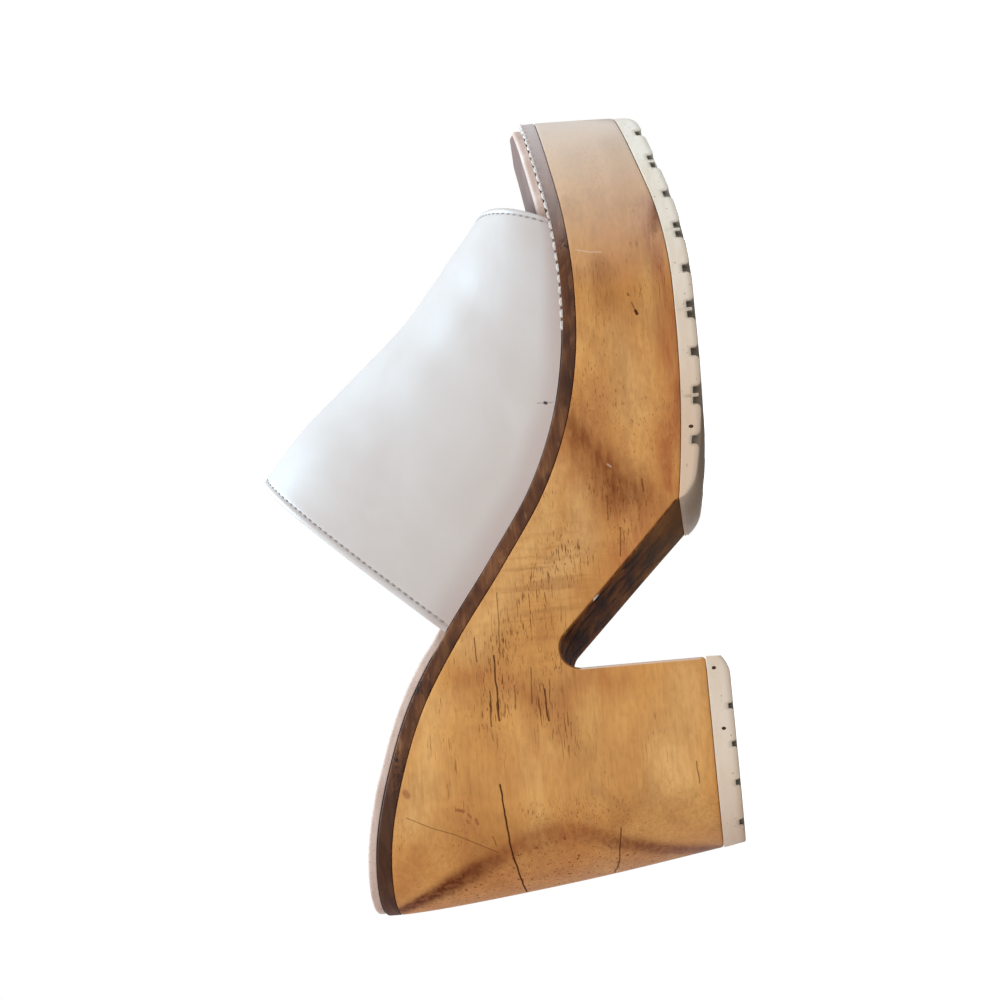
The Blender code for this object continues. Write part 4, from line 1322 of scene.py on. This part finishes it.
def make_welt_thread():
    x = stations(WELT_START, LENGTH, WELT_STEP)
    rim = []
    for side, way in ((-1, x), (1, x[::-1][1:])):
        rim.append(wall(way, above_footbed(way, GAP + MIDSOLE), side, WELT_INSET))
    line = np.concatenate(rim)
    normal = np.broadcast_to((0.0, 0.0, 1.0), line.shape)
    spaced = spaced_along(line, normal, WELT_PITCH, WELT_MARGIN)
    thread = thread_material("welt_thread", *WELT_THREAD)
    obj = stitches("welt_stitches", *spaced, WELT_LENGTH, WELT_RADIUS, thread)
    add_piece(obj, "thread")


def make_nails():
    """Nail heads that show in the inner side of the outsoles."""
    shape = bmesh.new()
    for x, z in NAILS:
        spot = wall(np.array([x]), np.array([z]), -1, 0.0)[0]
        into = np.array([float(v[0]) for v in inward(np.array([x]), -1)] + [0.0])
        ball = {"u_segments": NAIL_SIDES, "v_segments": NAIL_ROWS, "radius": NAIL_RADIUS * MM}
        head = bmesh.ops.create_uvsphere(shape, **ball)["verts"]
        bmesh.ops.scale(shape, verts=head, vec=NAIL_STRETCH)
        bmesh.ops.translate(shape, verts=head, vec=(spot + NAIL_SINK * into - CENTRE) * MM)
    mesh = bpy.data.meshes.new("outsole_nails")
    shape.to_mesh(mesh)
    shape.free()
    mesh.materials.append(nail_material())
    mesh.shade_smooth()
    add_piece(add_object("outsole_nails", mesh), "wood")


# Stage

WORLD_LIGHT, WORLD_COLOUR, WHITE = 0.687, (1.0, 0.84, 0.833, 1.0), (1.0, 1.0, 1.0, 1.0)
FLOOR_COLOUR, FLOOR_GLOW, FLOOR_LIGHT = (0.45, 0.445, 0.44, 1.0), 0.90, 0.11
FLOOR_HALF, FLOOR_Z, CAMERA_NEAR = 4.0, -0.0002, 0.01  # metres
LIGHTS = [
    # name, then place, aim and size in metres, power, colour
    ("key_above", (0.25, 0.05, 1.10), (0.02, 0.0, 0.06), (0.9, 0.7), 21.0, (0.52, 0.80, 1.0)),
    ("toe_front", (0.95, -0.30, 0.30), (0.06, 0.0, 0.05), (0.5, 0.7), 0.5, (1.0, 0.99, 0.97)),
    ("camera_side", (-0.30, -1.20, 0.45), (0.0, 0.0, 0.05), (1.0, 0.8), 2.0, (1.0, 0.98, 0.75)),
]
CAMERA_PLACE = Vector((-0.1365, -0.7241, 0.004))
CAMERA_TARGET = Vector((0.002, -0.004, 0.066))
CAMERA_ANGLE, CAMERA_LEAN = 24.0, 5.5  # degrees: field of view, and the shoe's lean to the left


def make_camera():
    """Low camera beside the heel's inner side, rolled so that the toe points up, the sole to the right."""
    data = bpy.data.cameras.new("camera")
    data.sensor_fit = "HORIZONTAL"
    data.angle = math.radians(CAMERA_ANGLE)
    data.clip_start = CAMERA_NEAR
    view = (CAMERA_TARGET - CAMERA_PLACE).normalized()
    up = (Vector((0, 0, 1)) - view * view.z).normalized()
    toeward = view.cross(up)
    lean = math.radians(CAMERA_LEAN)
    right = -math.sin(lean) * toeward - math.cos(lean) * up
    above = math.cos(lean) * toeward - math.sin(lean) * up
    turn = Matrix((right, above, -view)).transposed().to_4x4()
    camera = add_object("camera", data)
    camera.matrix_world = Matrix.Translation(CAMERA_PLACE) @ turn
    bpy.context.scene.camera = camera


def make_light(name, place_m, target, size, power, colour):
    data = bpy.data.lights.new(name, "AREA")
    data.shape = "RECTANGLE"
    data.size, data.size_y = size
    data.energy = power
    data.color = colour
    light = add_object(name, data)
    light.location = place_m
    light.rotation_euler = (Vector(target) - Vector(place_m)).to_track_quat("-Z", "Y").to_euler()


def make_stage():
    shade = Shade("pale_floor", Base_Color=FLOOR_COLOUR, Emission_Color=WHITE, Specular_IOR_Level=0.0,
                  Roughness=0.9)
    seen = shade.node("LightPath", "Is Camera Ray")
    shade.link(shade.scaled(seen, FLOOR_GLOW, FLOOR_LIGHT), "Emission Strength")
    mesh = bpy.data.meshes.new("floor")
    corners = [(-1, -1), (1, -1), (1, 1), (-1, 1)]
    mesh.from_pydata([(x * FLOOR_HALF, y * FLOOR_HALF, FLOOR_Z) for x, y in corners], [], [[0, 1, 2, 3]])
    mesh.materials.append(shade.material)
    floor = add_object("floor", mesh)

    world = bpy.data.worlds.new("studio")
    world.use_nodes = True
    tree = world.node_tree
    back = tree.nodes["Background"]
    back.inputs["Color"].default_value = WORLD_COLOUR
    back.inputs["Strength"].default_value = WORLD_LIGHT
    seen = tree.nodes.new("ShaderNodeBackground")
    seen.inputs["Color"].default_value = WHITE
    paths, either = tree.nodes.new("ShaderNodeLightPath"), tree.nodes.new("ShaderNodeMixShader")
    tree.links.new(paths.outputs["Is Camera Ray"], either.inputs[0])
    tree.links.new(back.outputs[0], either.inputs[1])
    tree.links.new(seen.outputs[0], either.inputs[2])
    tree.links.new(either.outputs[0], tree.nodes["World Output"].inputs["Surface"])
    bpy.context.scene.world = world
    for light in LIGHTS:
        make_light(*light)
    settings = bpy.context.scene.view_settings
    settings.view_transform, settings.look = "Standard", "None"


make_camera()
make_stage()
make_wood()
make_outsoles()
make_midsole()
make_insole()
make_upper()
make_welt_thread()
make_nails()
